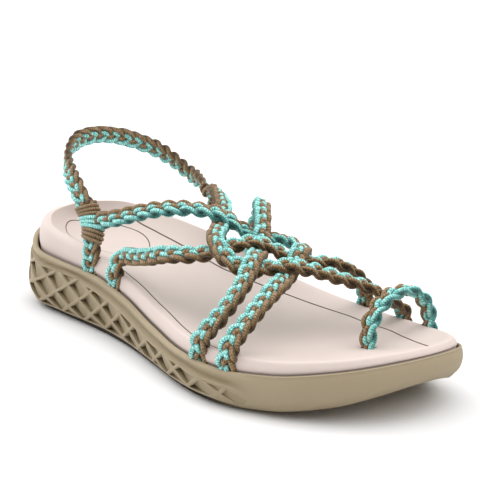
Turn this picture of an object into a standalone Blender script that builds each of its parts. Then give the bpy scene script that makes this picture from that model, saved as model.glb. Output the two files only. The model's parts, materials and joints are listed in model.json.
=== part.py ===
"""Right-foot walking sandal: moulded outsole, cushioned footbed, braided strap upper and toe loop.

The frame has +Y to the toe, +X to the wearer's right and +Z up, with the origin on the floor under the middle
of the sole. Tables and driving dimensions are in millimetres, and the meshes are made in metres.
"""
from math import cos, pi, radians, sin
from typing import NamedTuple

import bmesh
import bpy
import numpy as np
from mathutils import Matrix, Vector

# Driving dimensions, in millimetres
MM = 0.001
GAP = 0.35
SIDE_POINTS = 40
CURVE_STEPS = 24
TANGENT_STEP = 1.0
SHARP_ANGLE = 40.0
TABLE_ZERO = (-0.14, 1.55, 0.0)

# Braided straps
STRAP_WIDTH = 9.0
STRAP_THICKNESS = 5.4
BRAID_PITCH = 8.0
LOBE_SWELL = 0.15
SECTION_SIDES = 8
SECTION_SQUARENESS = 0.8
CROSSING_LIFT = 2.2
ANCHOR_INSET = 4.0
ANCHOR_DEPTH_GAP = 1.0
ANCHOR_RISE = 3.0
SLOT_CLEARANCE = 0.8
SLOT_MIDDLE = 30.0
SLOT_TALL = 60.0
FOOT_SIDE_POWER = 0.9
FOOT_TOP_POWER = 0.85
FOOT_STEP = 2.0

# Cord bindings at the ankle
BINDING_LENGTH = 18.0
BINDING_WIDTH = 11.0
BINDING_THICKNESS = 8.0
BINDING_SIDES = 10
BINDING_STEPS = 9
BINDING_BANDS = 3
BINDING_WAIST = 0.86

# Outsole side wall
RIM_BAND = 6.0
RIM_FOLLOWS_ARCH = 0.5
TRAY_SHARE = 0.5
TOE_TUCK = 2.5
TOE_TUCK_START = 84.0
TOE_TUCK_RUN = 44.0
HEEL_TUCK = 2.0
HEEL_TUCK_START = -104.0
HEEL_TUCK_RUN = 24.0
HEEL_FLARE = 2.6
HEEL_FLARE_START = -40.0
HEEL_FLARE_RUN = 60.0
HEEL_FLARE_POWER = 0.8
BAND_FLARE_LOSS = 0.7
WAIST_LIFT = 2.5
WAIST_ALONG = -18.0
WAIST_REACH = 44.0

# Lattice of diamond pockets in the side wall
LATTICE_PITCH = 19.5
LATTICE_ROW = 5.4
LATTICE_ROWS = 4
LATTICE_FOOT = 2.0
LATTICE_END = 80.0
RIB_ALONG = 1.5
RIB_UP = 0.9
LATTICE_MARGIN = 1.2
POCKET_DEPTH_TOP = 2.4
POCKET_DEPTH_FOOT = 0.9
POCKET_MIN_HEIGHT = 3.2
POCKET_DRAFT = 0.85
CUTTER_PROUD = 2.5

# Tread grooves across the underside
GROOVE_FIRST = -105.0
GROOVE_STEP = 21.0
GROOVE_COUNT = 11
GROOVE_WIDTH = 3.0
GROOVE_DEPTH = 2.0
GROOVE_MARGIN = 11.0

# Loop of the heel strap round the ankle, seen from above as half an ellipse
ANKLE_ACROSS = 34.0
ANKLE_BACK = 51.5
ANKLE_ALONG = -57.0
ANKLE_SHIFT = -2.0
ANKLE_TOP = 82.5
ANKLE_SIDE_LATERAL = 54.0
ANKLE_SIDE_MEDIAL = 53.0
ANKLE_RISE_POWER = 0.7
ANKLE_STEPS = (14, 32, 50, 70, 90, 110, 130, 148, 166)

# Toe loop, an arch over the big toe
TOE_LOOP_ALONG = 94.0
TOE_LOOP_INNER = -10.0
TOE_LOOP_BASE = 25.0
TOE_LOOP_RISE = 16.5
TOE_LOOP_STEPS = (20, 45, 70, 90, 110, 135, 160)


class Station(NamedTuple):
    """A row of the sole: half widths of the footbed and heights, at a distance along the foot."""

    along: float
    lateral: float
    medial: float
    ground: float
    rim: float
    bed_lateral: float
    bed_medial: float
    seat: float


SOLE = (
    Station(-129, 0.0, 0.0, 4.5, 39.0, 44.5, 45.5, 43.5),
    Station(-120, 23.0, -22.5, 1.6, 35.0, 44.0, 45.0, 36.5),
    Station(-104, 33.6, -32.5, 0.0, 29.6, 41.0, 43.0, 31.5),
    Station(-80, 34.4, -33.8, 0.0, 28.0, 37.8, 41.5, 29.8),
    Station(-50, 34.0, -33.2, 0.0, 27.4, 34.6, 39.8, 28.8),
    Station(-20, 35.8, -33.5, 0.0, 24.0, 30.0, 35.2, 26.2),
    Station(12, 41.0, -38.0, 0.0, 19.0, 25.0, 28.5, 22.2),
    Station(42, 46.2, -44.0, 0.0, 16.6, 22.2, 23.8, 19.4),
    Station(66, 46.4, -46.6, 0.5, 16.2, 21.6, 22.4, 18.8),
    Station(92, 38.5, -45.5, 2.7, 18.0, 23.0, 23.4, 20.2),
    Station(112, 24.0, -40.0, 6.6, 21.6, 25.6, 25.8, 23.4),
    Station(123, 9.0, -31.5, 10.7, 24.4, 27.6, 27.6, 26.2),
    Station(128.5, -13.0, -13.0, 13.6, 26.0, 28.6, 28.6, 28.0),
)


class SideLevel(NamedTuple):
    """A level of the sole's side: its share of a band's height, and how far it stands out from the edge."""

    share: float
    bulge: float


# The lattice wall up to the ridge, the smooth band over it, and the footbed's wall over the rim
LATTICE_WALL = (SideLevel(0.0, -1.4), SideLevel(0.14, 0.9), SideLevel(0.5, 2.9), SideLevel(1.0, 3.8))
RIM_PROFILE = (SideLevel(0.25, 2.8), SideLevel(0.62, 2.2), SideLevel(0.9, 1.9), SideLevel(1.0, 1.1))
BED_WALL = (
    SideLevel(0.06, -0.3),
    SideLevel(0.45, -0.5),
    SideLevel(0.8, -1.3),
    SideLevel(0.96, -2.6),
    SideLevel(1.0, -4.4),
)

# Shares of the way across the footbed's dished top
BED_ACROSS = (0.1, 0.26, 0.5, 0.74, 0.9)
DISH_POWER = 2.6


class Crest(NamedTuple):
    """Height of the straps' middle over the top of the foot, at a distance along it."""

    along: float
    height: float


FOOT_CREST = (
    Crest(-90, 84),
    Crest(-60, 76),
    Crest(-40, 71),
    Crest(-16, 65.5),
    Crest(6, 60.5),
    Crest(20, 56.5),
    Crest(35, 53),
    Crest(50, 49),
    Crest(62, 45.5),
    Crest(76, 41),
    Crest(100, 36),
)


class Via(NamedTuple):
    """A point of a strap on the foot, with its girth in degrees from the lateral edge, and its lift."""

    along: float
    girth: float
    lift: float


class Anchor(NamedTuple):
    """Where a strap goes down into the sole; side is 1 on the lateral edge and -1 on the medial edge."""

    along: float
    side: int


OVER = CROSSING_LIFT
LEVEL = 0.0
UNDER = -CROSSING_LIFT
LATERAL = 1
MEDIAL = -1

LATERAL_BINDING = Via(-58, 18, 1.0)
MEDIAL_BINDING = Via(-46, 148, 4.0)
HEEL_ANCHORS = (Anchor(-54, LATERAL), Anchor(-42, MEDIAL))

# The four instep straps weave over and under each other in turn
INSTEP_STRAPS = {
    "front_to_waist": (
        Anchor(55, LATERAL), Via(58, 22, LEVEL), Via(55, 56, LEVEL), Via(46, 76, OVER), Via(36, 90, UNDER),
        Via(25, 101, 4.0), Via(15, 110, 7.5), Via(4, 124, 8.0), Via(-6, 144, 6.0), Via(-13, 164, 2.0),
        Anchor(-16, MEDIAL),
    ),
    "waist_to_front": (
        Anchor(-31, LATERAL), Via(-30, 9, LEVEL), Via(-14, 18, LEVEL), Via(6, 35, LEVEL), Via(24, 62, UNDER),
        Via(35, 88, OVER), Via(47, 104, UNDER), Via(55, 124, 1.5), Via(58, 147, 1.0), Anchor(53, MEDIAL),
    ),
    "lateral_turn": (
        LATERAL_BINDING, Via(-40, 32, LEVEL), Via(-18, 58, 1.0), Via(-2, 76, 3.0), Via(9, 88, 3.0),
        Via(20, 101, UNDER), Via(30, 118, LEVEL), Via(40, 117, LEVEL), Via(47, 104, OVER), Via(57, 88, UNDER),
        Via(66, 68, LEVEL), Via(72, 38, LEVEL), Anchor(72, LATERAL),
    ),
    "medial_turn": (
        MEDIAL_BINDING, Via(-32, 135, 3.0), Via(-17, 119, 1.0), Via(-4, 104, LEVEL), Via(9, 89, -1.6),
        Via(24, 70, OVER), Via(36, 66, LEVEL), Via(46, 72, UNDER), Via(57, 88, OVER), Via(66, 109, LEVEL),
        Via(74, 130, LEVEL), Via(77, 150, -1.0), Anchor(76, MEDIAL),
    ),
}


class Finish(NamedTuple):
    """Colour, roughness and metallic value of a piece's material."""

    colour: tuple
    roughness: float
    metallic: float


FINISHES = {
    "outsole": Finish((0.36, 0.31, 0.21, 1.0), 0.75, 0.0),
    "footbed": Finish((0.76, 0.66, 0.60, 1.0), 0.8, 0.0),
    "upper": Finish((0.16, 0.52, 0.47, 1.0), 0.85, 0.0),
    "toe_loop": Finish((0.22, 0.13, 0.08, 1.0), 0.85, 0.0),
}


# Curves and tables

def through_rows(rows, column, along):
    """Read a table column at any distance along the foot, on a curve that stays flat where its rows are."""
    known = np.array([row.along for row in rows], dtype=float)
    values = np.array([getattr(row, column) for row in rows], dtype=float)
    climbs = np.diff(values) / np.diff(known)
    same_way = climbs[:-1] * climbs[1:] > 0
    mean = 2 * climbs[:-1] * climbs[1:] / np.where(same_way, climbs[:-1] + climbs[1:], 1.0)
    slopes = np.concatenate((climbs[:1], np.where(same_way, mean, 0.0), climbs[-1:]))
    place = np.clip(np.asarray(along, dtype=float), known[0], known[-1])
    span = np.clip(np.searchsorted(known, place) - 1, 0, len(known) - 2)
    width = known[span + 1] - known[span]
    t = (place - known[span]) / width
    start = (1 + 2 * t) * (1 - t) ** 2 * values[span] + t * (1 - t) ** 2 * width * slopes[span]
    finish = t * t * (3 - 2 * t) * values[span + 1] + t * t * (t - 1) * width * slopes[span + 1]
    return start + finish


def sole(column, along):
    """Read a column of the sole table at a distance along the foot."""
    return through_rows(SOLE, column, along)


def smooth_curve(points, closed):
    """Return many points on a smooth curve through the given points, with the arc length at each."""
    knots = np.array(points, dtype=float)
    if closed:
        knots = np.vstack((knots[-2:], knots, knots[:3]))
    else:
        knots = np.vstack((2 * knots[0] - knots[1], knots, 2 * knots[-1] - knots[-2]))
    chords = np.linalg.norm(np.diff(knots[:, :3], axis=0), axis=1)
    times = np.concatenate(([0.0], np.cumsum(np.sqrt(chords))))
    slopes = np.gradient(knots, times, axis=0)
    first = 2 if closed else 1
    last = len(knots) - 3 if closed else len(knots) - 2
    dense = []
    for span in range(first, last):
        width = times[span + 1] - times[span]
        for step in range(CURVE_STEPS):
            t = step / CURVE_STEPS
            dense.append(
                (1 + 2 * t) * (1 - t) ** 2 * knots[span] + t * (1 - t) ** 2 * width * slopes[span]
                + t * t * (3 - 2 * t) * knots[span + 1] + t * t * (t - 1) * width * slopes[span + 1]
            )
    dense.append(knots[last])
    dense = np.array(dense)
    steps = np.linalg.norm(np.diff(dense[:, :3], axis=0), axis=1)
    return dense, np.concatenate(([0.0], np.cumsum(steps)))


def read_curve(dense, lengths, places):
    """Read a dense curve at the given arc lengths."""
    return np.column_stack([np.interp(places, lengths, column) for column in dense.T])


# The footbed's edge from above

def edge_halves():
    """Return the lateral and medial halves of the footbed's edge, each from heel tip to toe tip."""
    inner_rows = SOLE[1:-1]
    lateral = [(row.lateral, row.along, 0.0) for row in inner_rows]
    medial = [(row.medial, row.along, 0.0) for row in inner_rows]
    heel = (SOLE[0].lateral, SOLE[0].along, 0.0)
    toe = (SOLE[-1].lateral, SOLE[-1].along, 0.0)
    dense, _ = smooth_curve([heel, *lateral, toe, *medial[::-1]], closed=True)
    toe_index = (len(lateral) + 1) * CURVE_STEPS
    halves = {}
    for side, points in ((LATERAL, dense[: toe_index + 1]), (MEDIAL, dense[toe_index:][::-1])):
        steps = np.linalg.norm(np.diff(points, axis=0), axis=1)
        tangents = np.gradient(points, axis=0)
        tangents /= np.linalg.norm(tangents, axis=1)[:, None]
        normals = side * np.column_stack((tangents[:, 1], -tangents[:, 0]))
        halves[side] = (np.hstack((points[:, :2], normals)), np.concatenate(([0.0], np.cumsum(steps))))
    return halves


EDGE = edge_halves()


def edge_at(run):
    """Return points and outward normals at arc lengths from the heel tip, lateral for a positive run."""
    run = np.atleast_1d(np.asarray(run, dtype=float))
    found = np.where((run >= 0)[:, None], read_curve(*EDGE[LATERAL], run), read_curve(*EDGE[MEDIAL], -run))
    normals = found[:, 2:] / np.linalg.norm(found[:, 2:], axis=1)[:, None]
    return found[:, :2], normals


def edge_run(along, side):
    """Return the signed arc length at which one side of the edge reaches a distance along the foot."""
    points, lengths = EDGE[side]
    return side * float(np.interp(along, points[:, 1], lengths))


def perimeter():
    """Return the arc lengths of points round the whole edge, paired across the foot."""
    share = np.linspace(0.0, 1.0, SIDE_POINTS + 1)
    lateral = share * EDGE[LATERAL][1][-1]
    medial = -share[1:-1][::-1] * EDGE[MEDIAL][1][-1]
    return np.concatenate((lateral, medial))


class EdgeHeights:
    """Heights of the sole's levels at points of its edge."""

    def __init__(self, points, normals):
        along = points[:, 1]
        medial = (1 - normals[:, 0]) / 2
        waist = np.clip(1 - ((along - WAIST_ALONG) / WAIST_REACH) ** 2, 0, 1) ** 2
        arch = sole("bed_medial", along) - sole("bed_lateral", along)
        self.ground = sole("ground", along) + WAIST_LIFT * waist * medial ** 2
        self.rim = sole("rim", along) + RIM_FOLLOWS_ARCH * arch * medial
        self.bed = sole("bed_lateral", along) + arch * medial
        self.ridge = self.rim - RIM_BAND
        self.floor = self.ground + TRAY_SHARE * (self.rim - self.ground)
        toe = np.clip((along - TOE_TUCK_START) / TOE_TUCK_RUN, 0, 1)
        heel = np.clip((HEEL_TUCK_START - along) / HEEL_TUCK_RUN, 0, 1)
        flare = np.clip((HEEL_FLARE_START - along) / HEEL_FLARE_RUN, 0, 1)
        self.tuck = TOE_TUCK * toe ** 2 + HEEL_TUCK * heel ** 2
        self.flare = HEEL_FLARE * flare ** HEEL_FLARE_POWER

    def wall_bulge(self, share):
        """Return how far the lattice wall stands out from the edge at a share of its height."""
        shares = [row.share for row in LATTICE_WALL]
        bulges = [row.bulge for row in LATTICE_WALL]
        return np.interp(share, shares, bulges) - self.tuck * (1 - share) ** 2 + self.flare * share ** 0.5

    def band_bulge(self, share):
        """Return how far the smooth rim band stands out from the edge at a share of its height."""
        shares = [row.share for row in RIM_PROFILE]
        bulges = [row.bulge for row in RIM_PROFILE]
        return np.interp(share, shares, bulges) + self.flare * (1 - BAND_FLARE_LOSS * share)


# Meshes

def new_object(name, bm, collection):
    """Turn a bmesh into an object in a collection, with its faces pointing out."""
    bmesh.ops.recalc_face_normals(bm, faces=bm.faces)
    mesh = bpy.data.meshes.new(name)
    bm.to_mesh(mesh)
    bm.free()
    item = bpy.data.objects.new(name, mesh)
    item.location = Vector(TABLE_ZERO) * MM
    collection.objects.link(item)
    return item


def add_ring(bm, points):
    """Add a ring of vertices, from points in millimetres."""
    return [bm.verts.new(Vector(point) * MM) for point in points]


def skin_rings(bm, rings):
    """Join each closed ring of vertices to the next with quads."""
    for lower, upper in zip(rings, rings[1:]):
        for a in range(len(lower)):
            b = (a + 1) % len(lower)
            bm.faces.new((lower[a], lower[b], upper[b], upper[a]))


def skin_rows(bm, rows):
    """Join rows of vertices across the foot, from tip to tip; the first and last rows are single points."""
    for near, far in zip(rows, rows[1:]):
        if len(near) == 1:
            near = near * len(far)
        if len(far) == 1:
            far = far * len(near)
        for a in range(len(near) - 1):
            corners = dict.fromkeys((near[a], near[a + 1], far[a + 1], far[a]))
            bm.faces.new(tuple(corners))


def paired_rows(ring):
    """Group the vertices of a ring into lateral and medial pairs, from heel tip to toe tip."""
    count = len(ring)
    pairs = [[ring[0]]]
    pairs += [[ring[index], ring[count - index]] for index in range(1, count // 2)]
    return pairs + [[ring[count // 2]]]


def level(points, normals, bulge, height):
    """Return the points of one level of the sole, bulged out from its edge at a height."""
    return np.column_stack((points + normals * np.reshape(bulge, (-1, 1)), height))


def make_outsole(collection, cutters):
    """Loft the outsole through levels of its edge, and cut the lattice pockets and the tread grooves."""
    points, normals = edge_at(perimeter())
    heights = EdgeHeights(points, normals)
    wall = heights.ridge - heights.ground
    band = heights.rim - heights.ridge
    levels = []
    for row in LATTICE_WALL:
        bulge = heights.wall_bulge(row.share)
        levels.append(level(points, normals, bulge, heights.ground + row.share * wall))
    for row in RIM_PROFILE:
        bulge = heights.band_bulge(row.share)
        levels.append(level(points, normals, bulge, heights.ridge + row.share * band))
    inner = np.zeros(len(points))
    levels.append(level(points, normals, inner, heights.rim - GAP))
    levels.append(level(points, normals, inner, heights.floor))
    bm = bmesh.new()
    rings = [add_ring(bm, ring) for ring in levels]
    skin_rings(bm, rings)
    skin_rows(bm, paired_rows(rings[0]))
    skin_rows(bm, paired_rows(rings[-1]))
    outsole = new_object("outsole", bm, collection)
    cut(outsole, make_pockets(cutters), "DIFFERENCE")
    cut(outsole, make_grooves(cutters), "DIFFERENCE")
    return outsole


def clip_height(polygon, low, high):
    """Clip a polygon of (run, height) corners to a band of heights."""
    for bound, keep in ((low, 1), (high, -1)):
        clipped = []
        for (run_a, up_a), (run_b, up_b) in zip(polygon, polygon[1:] + polygon[:1]):
            inside_a = keep * (up_a - bound) >= 0
            inside_b = keep * (up_b - bound) >= 0
            if inside_a:
                clipped.append((run_a, up_a))
            if inside_a != inside_b:
                t = (bound - up_a) / (up_b - up_a)
                clipped.append((run_a + t * (run_b - run_a), bound))
        polygon = clipped
    return polygon


def lattice_cells():
    """Yield the diamond pockets of the side wall as polygons of run and height above the ground."""
    half_along = LATTICE_PITCH / 2 - RIB_ALONG
    half_up = LATTICE_ROW - RIB_UP
    first = int(edge_run(LATTICE_END, MEDIAL) / LATTICE_PITCH) - 1
    last = int(edge_run(LATTICE_END, LATERAL) / LATTICE_PITCH) + 1
    for row in range(LATTICE_ROWS):
        for column in range(first, last + 1):
            run = (column + 0.5 * ((row + 1) % 2)) * LATTICE_PITCH
            points, normals = edge_at(run)
            if points[0, 1] > LATTICE_END:
                continue
            heights = EdgeHeights(points, normals)
            up = LATTICE_FOOT + row * LATTICE_ROW
            diamond = [
                (run - half_along, up),
                (run, up - half_up),
                (run + half_along, up),
                (run, up + half_up),
            ]
            top = float(heights.ridge[0] - heights.ground[0]) - LATTICE_MARGIN
            cell = clip_height(diamond, LATTICE_FOOT, top)
            tall = [corner[1] for corner in cell]
            if cell and max(tall) - min(tall) > POCKET_MIN_HEIGHT:
                yield cell


def make_pockets(cutters):
    """Make one cutter of all lattice pockets, each deeper at its top than at its foot."""
    bm = bmesh.new()
    for cell in lattice_cells():
        runs = np.array([corner[0] for corner in cell])
        ups = np.array([corner[1] for corner in cell])
        rise = (ups - ups.min()) / (ups.max() - ups.min())
        depth = POCKET_DEPTH_FOOT + (POCKET_DEPTH_TOP - POCKET_DEPTH_FOOT) * rise
        floor_runs = runs.mean() + (runs - runs.mean()) * POCKET_DRAFT
        floor_ups = ups.mean() + (ups - ups.mean()) * POCKET_DRAFT
        rings = []
        for run, up, reach in ((runs, ups, CUTTER_PROUD), (floor_runs, floor_ups, -depth)):
            points, normals = edge_at(run)
            heights = EdgeHeights(points, normals)
            share = up / (heights.ridge - heights.ground)
            bulge = heights.wall_bulge(share) + reach
            rings.append(add_ring(bm, level(points, normals, bulge, heights.ground + up)))
        skin_rings(bm, rings)
        for ring in rings:
            bm.faces.new(ring)
    bmesh.ops.triangulate(bm, faces=bm.faces)
    return new_object("lattice_cutter", bm, cutters)


def make_grooves(cutters):
    """Make one cutter of all tread grooves, boxes across the underside that stop short of its edge."""
    bm = bmesh.new()
    for index in range(GROOVE_COUNT):
        along = GROOVE_FIRST + index * GROOVE_STEP
        lateral = float(sole("lateral", along)) - GROOVE_MARGIN
        medial = float(sole("medial", along)) + GROOVE_MARGIN
        centre = Vector(((lateral + medial) / 2, along, float(sole("ground", along)))) * MM
        size = Vector((lateral - medial, GROOVE_WIDTH, 2 * GROOVE_DEPTH)) * MM
        place = Matrix.Translation(centre) @ Matrix.Diagonal((*size, 1.0))
        bmesh.ops.create_cube(bm, size=1.0, matrix=place)
    return new_object("groove_cutter", bm, cutters)


def make_footbed(collection, cutters):
    """Loft the footbed with its dished top, and cut the slots where the straps go down."""
    points, normals = edge_at(perimeter())
    heights = EdgeHeights(points, normals)
    wall = heights.bed - heights.rim
    inset = np.full(len(points), GAP)
    levels = [
        level(points, normals, -inset, heights.floor + GAP),
        level(points, normals, -inset, heights.rim),
    ]
    for row in BED_WALL:
        bulge = np.full(len(points), row.bulge)
        levels.append(level(points, normals, bulge, heights.rim + row.share * wall))
    bm = bmesh.new()
    rings = [add_ring(bm, ring) for ring in levels]
    skin_rings(bm, rings)
    skin_rows(bm, paired_rows(rings[0]))
    top = []
    for pair in paired_rows(rings[-1]):
        if len(pair) == 1:
            top.append(pair)
            continue
        lateral, medial = pair
        inside = []
        for share in BED_ACROSS:
            spot = lateral.co.lerp(medial.co, share)
            seat = float(sole("seat", spot.y / MM)) * MM
            spot.z = seat + (spot.z - seat) * abs(2 * share - 1) ** DISH_POWER
            inside.append(bm.verts.new(spot))
        top.append([lateral, *inside, medial])
    skin_rows(bm, top)
    footbed = new_object("footbed", bm, collection)
    cut(footbed, make_slots(cutters), "DIFFERENCE")
    return footbed


def strap_anchors():
    """Return every anchor at the sole's edge, the toe loop's outer one included."""
    anchors = list(HEEL_ANCHORS) + [Anchor(TOE_LOOP_ALONG, MEDIAL)]
    for route in INSTEP_STRAPS.values():
        anchors += [stop for stop in route if isinstance(stop, Anchor)]
    return anchors


def make_slots(cutters):
    """Make one cutter of all strap slots: open boxes at the edge, and a hole for the toe loop's inner end."""
    bm = bmesh.new()
    width = STRAP_WIDTH * (1 + LOBE_SWELL) + 2 * SLOT_CLEARANCE
    deep = STRAP_THICKNESS * (1 + LOBE_SWELL) / 2 + SLOT_CLEARANCE
    for anchor in strap_anchors():
        points, normals = edge_at(edge_run(anchor.along, anchor.side))
        inner = ANCHOR_INSET + deep
        outer = CUTTER_PROUD
        middle = points[0] - normals[0] * (inner - outer) / 2
        turn = Matrix.Rotation(np.arctan2(normals[0, 1], normals[0, 0]), 4, "Z")
        size = Vector((inner + outer, width, SLOT_TALL)) * MM
        place = Matrix.Translation(Vector((*middle, SLOT_MIDDLE)) * MM) @ turn @ Matrix.Diagonal((*size, 1.0))
        bmesh.ops.create_cube(bm, size=1.0, matrix=place)
    centre = Vector((TOE_LOOP_INNER, TOE_LOOP_ALONG, SLOT_MIDDLE)) * MM
    size = Vector((2 * deep, width, SLOT_TALL)) * MM
    bmesh.ops.create_cube(bm, size=1.0, matrix=Matrix.Translation(centre) @ Matrix.Diagonal((*size, 1.0)))
    return new_object("slot_cutter", bm, cutters)


# Straps

def foot_surface(along, girth):
    """Return the point on the straps' middle surface over the foot, at a girth angle in degrees."""
    lateral = float(sole("lateral", along)) - ANCHOR_INSET
    medial = float(sole("medial", along)) + ANCHOR_INSET
    across = cos(radians(girth))
    up = max(sin(radians(girth)), 0.0)
    bed_lateral = float(sole("bed_lateral", along))
    bed_medial = float(sole("bed_medial", along))
    base = bed_lateral * (1 + across) / 2 + bed_medial * (1 - across) / 2
    rise = float(through_rows(FOOT_CREST, "height", along)) - base
    half = (lateral - medial) / 2
    x = (lateral + medial) / 2 + half * np.sign(across) * abs(across) ** FOOT_SIDE_POWER
    return np.array((x, along, base + rise * up ** FOOT_TOP_POWER))


def foot_point(via):
    """Return a strap's point on the foot with its outward direction, as one row of six numbers."""
    medial = foot_surface(via.along, min(via.girth + FOOT_STEP, 180))
    lateral = foot_surface(via.along, via.girth - FOOT_STEP)
    ahead = foot_surface(via.along + FOOT_STEP, via.girth)
    behind = foot_surface(via.along - FOOT_STEP, via.girth)
    outward = np.cross(ahead - behind, medial - lateral)
    outward /= np.linalg.norm(outward)
    place = foot_surface(via.along, via.girth) + outward * via.lift
    return np.concatenate((place, outward))


def anchor_points(anchor):
    """Return a strap's end in its slot and its point at the slot's mouth, from the end up."""
    points, normals = edge_at(edge_run(anchor.along, anchor.side))
    heights = EdgeHeights(points, normals)
    spot = points[0] - normals[0] * ANCHOR_INSET
    outward = (*normals[0], 0.0)
    low = float(heights.floor[0]) + ANCHOR_DEPTH_GAP
    high = float(heights.bed[0]) + ANCHOR_RISE
    return [np.array((*spot, low, *outward)), np.array((*spot, high, *outward))]


def strap_route(stops):
    """Turn a strap's stops into rows of point and outward direction."""
    rows = []
    for index, stop in enumerate(stops):
        if isinstance(stop, Anchor):
            ends = anchor_points(stop)
            rows += ends if index == 0 else ends[::-1]
        else:
            rows.append(foot_point(stop))
    return rows


def heel_route():
    """Return the heel strap's rows: up from one anchor, round the ankle and down to the other."""
    rows = anchor_points(HEEL_ANCHORS[0]) + [foot_point(LATERAL_BINDING)]
    for degrees in ANKLE_STEPS:
        turn = radians(degrees)
        side = ANKLE_SIDE_LATERAL + (ANKLE_SIDE_MEDIAL - ANKLE_SIDE_LATERAL) * degrees / 180
        x = ANKLE_SHIFT + ANKLE_ACROSS * cos(turn)
        y = ANKLE_ALONG - ANKLE_BACK * sin(turn)
        z = side + (ANKLE_TOP - side) * sin(turn) ** ANKLE_RISE_POWER
        rows.append(np.array((x, y, z, cos(turn), -sin(turn), 0.0)))
    return rows + [foot_point(MEDIAL_BINDING)] + anchor_points(HEEL_ANCHORS[1])[::-1]


def toe_loop_route():
    """Return the toe loop's rows: up from the slot, over the big toe and down at the medial edge."""
    outer_end, outer_mouth = anchor_points(Anchor(TOE_LOOP_ALONG, MEDIAL))
    inner_end = outer_end.copy()
    inner_end[[0, 1]] = TOE_LOOP_INNER, TOE_LOOP_ALONG
    inner_end[3:] = 1.0, 0.0, 0.0
    inner_mouth = inner_end.copy()
    inner_mouth[2] = outer_mouth[2]
    middle = (inner_end[:3] + outer_end[:3]) / 2
    half = (TOE_LOOP_INNER - outer_end[0]) / 2
    rows = [inner_end, inner_mouth]
    for degrees in TOE_LOOP_STEPS:
        turn = radians(degrees)
        x = middle[0] + half * cos(turn)
        z = TOE_LOOP_BASE + TOE_LOOP_RISE * sin(turn)
        rows.append(np.array((x, middle[1], z, cos(turn), 0.0, sin(turn))))
    return rows + [outer_mouth, outer_end]


def braid_section(place):
    """Return the braid's cross-section at an arc length, with its left and right lobes swelling in turn."""
    section = []
    for index in range(SECTION_SIDES):
        turn = 2 * pi * index / SECTION_SIDES
        across, up = cos(turn), sin(turn)
        beat = cos(2 * pi * place / BRAID_PITCH) * across
        swell = 1 + LOBE_SWELL * beat
        wide = STRAP_WIDTH / 2 * swell * np.sign(across) * abs(across) ** SECTION_SQUARENESS
        thick = STRAP_THICKNESS / 2 * swell * np.sign(up) * abs(up) ** SECTION_SQUARENESS
        section.append((wide, thick))
    return section


def sweep(name, rows, sections_at, collection, start=0.0, length=None, step=BRAID_PITCH / 2):
    """Sweep cross-sections along a route of points and outward directions, and close both ends."""
    dense, lengths = smooth_curve(rows, closed=False)
    length = lengths[-1] - start if length is None else length
    count = max(2, round(length / step))
    places = start + np.linspace(0.0, length, count + 1)
    here = read_curve(dense, lengths, places)
    ahead = read_curve(dense, lengths, np.clip(places + TANGENT_STEP, 0, lengths[-1]))
    behind = read_curve(dense, lengths, np.clip(places - TANGENT_STEP, 0, lengths[-1]))
    bm = bmesh.new()
    rings = []
    for index, row in enumerate(here):
        tangent = Vector(ahead[index, :3] - behind[index, :3]).normalized()
        sideways = tangent.cross(Vector(row[3:])).normalized()
        outward = sideways.cross(tangent)
        centre = Vector(row[:3])
        section = sections_at(index * step)
        rings.append(add_ring(bm, [centre + sideways * wide + outward * thick for wide, thick in section]))
    skin_rings(bm, rings)
    bm.faces.new(rings[0])
    bm.faces.new(rings[-1])
    return new_object(name, bm, collection)


def binding_section(place):
    """Return a binding's cross-section at a distance along it, which swells at each band of wound cord."""
    band = abs(sin(BINDING_BANDS * pi * place / BINDING_LENGTH)) ** 0.5
    swell = BINDING_WAIST + (1 - BINDING_WAIST) * band
    section = []
    for index in range(BINDING_SIDES):
        turn = 2 * pi * index / BINDING_SIDES
        section.append((BINDING_WIDTH / 2 * swell * cos(turn), BINDING_THICKNESS / 2 * swell * sin(turn)))
    return section


def make_binding(name, via, cutters):
    """Wind a binding round the heel strap, centred on one of its points."""
    rows = heel_route()
    dense, lengths = smooth_curve(rows, closed=False)
    nearest = np.argmin(np.linalg.norm(dense[:, :3] - foot_point(via)[:3], axis=1))
    start = lengths[nearest] - BINDING_LENGTH / 2
    step = BINDING_LENGTH / BINDING_STEPS
    return sweep(name, rows, binding_section, cutters, start, BINDING_LENGTH, step)


def make_upper(collection, cutters):
    """Braid the heel strap and the four instep straps, and join them and the bindings into one solid."""
    upper = sweep("upper", heel_route(), braid_section, collection)
    for name, stops in INSTEP_STRAPS.items():
        cut(upper, sweep(name, strap_route(stops), braid_section, cutters), "UNION")
    cut(upper, make_binding("lateral_binding", LATERAL_BINDING, cutters), "UNION")
    cut(upper, make_binding("medial_binding", MEDIAL_BINDING, cutters), "UNION")
    return upper


def cut(item, tool, operation):
    """Cut an object with a tool, or join the tool to it, by a Boolean modifier."""
    modifier = item.modifiers.new(tool.name, "BOOLEAN")
    modifier.operation = operation
    modifier.solver = "EXACT"
    modifier.object = tool


def give_material(item):
    """Give a piece its own material, and shade it smooth up to its sharp edges."""
    finish = FINISHES[item.name]
    material = bpy.data.materials.new(item.name)
    material.use_nodes = True
    shader = material.node_tree.nodes["Principled BSDF"]
    shader.inputs["Base Color"].default_value = finish.colour
    shader.inputs["Roughness"].default_value = finish.roughness
    shader.inputs["Metallic"].default_value = finish.metallic
    item.data.materials.append(material)
    item.data.shade_smooth()
    item.data.set_sharp_from_angle(angle=radians(SHARP_ANGLE))


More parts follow.
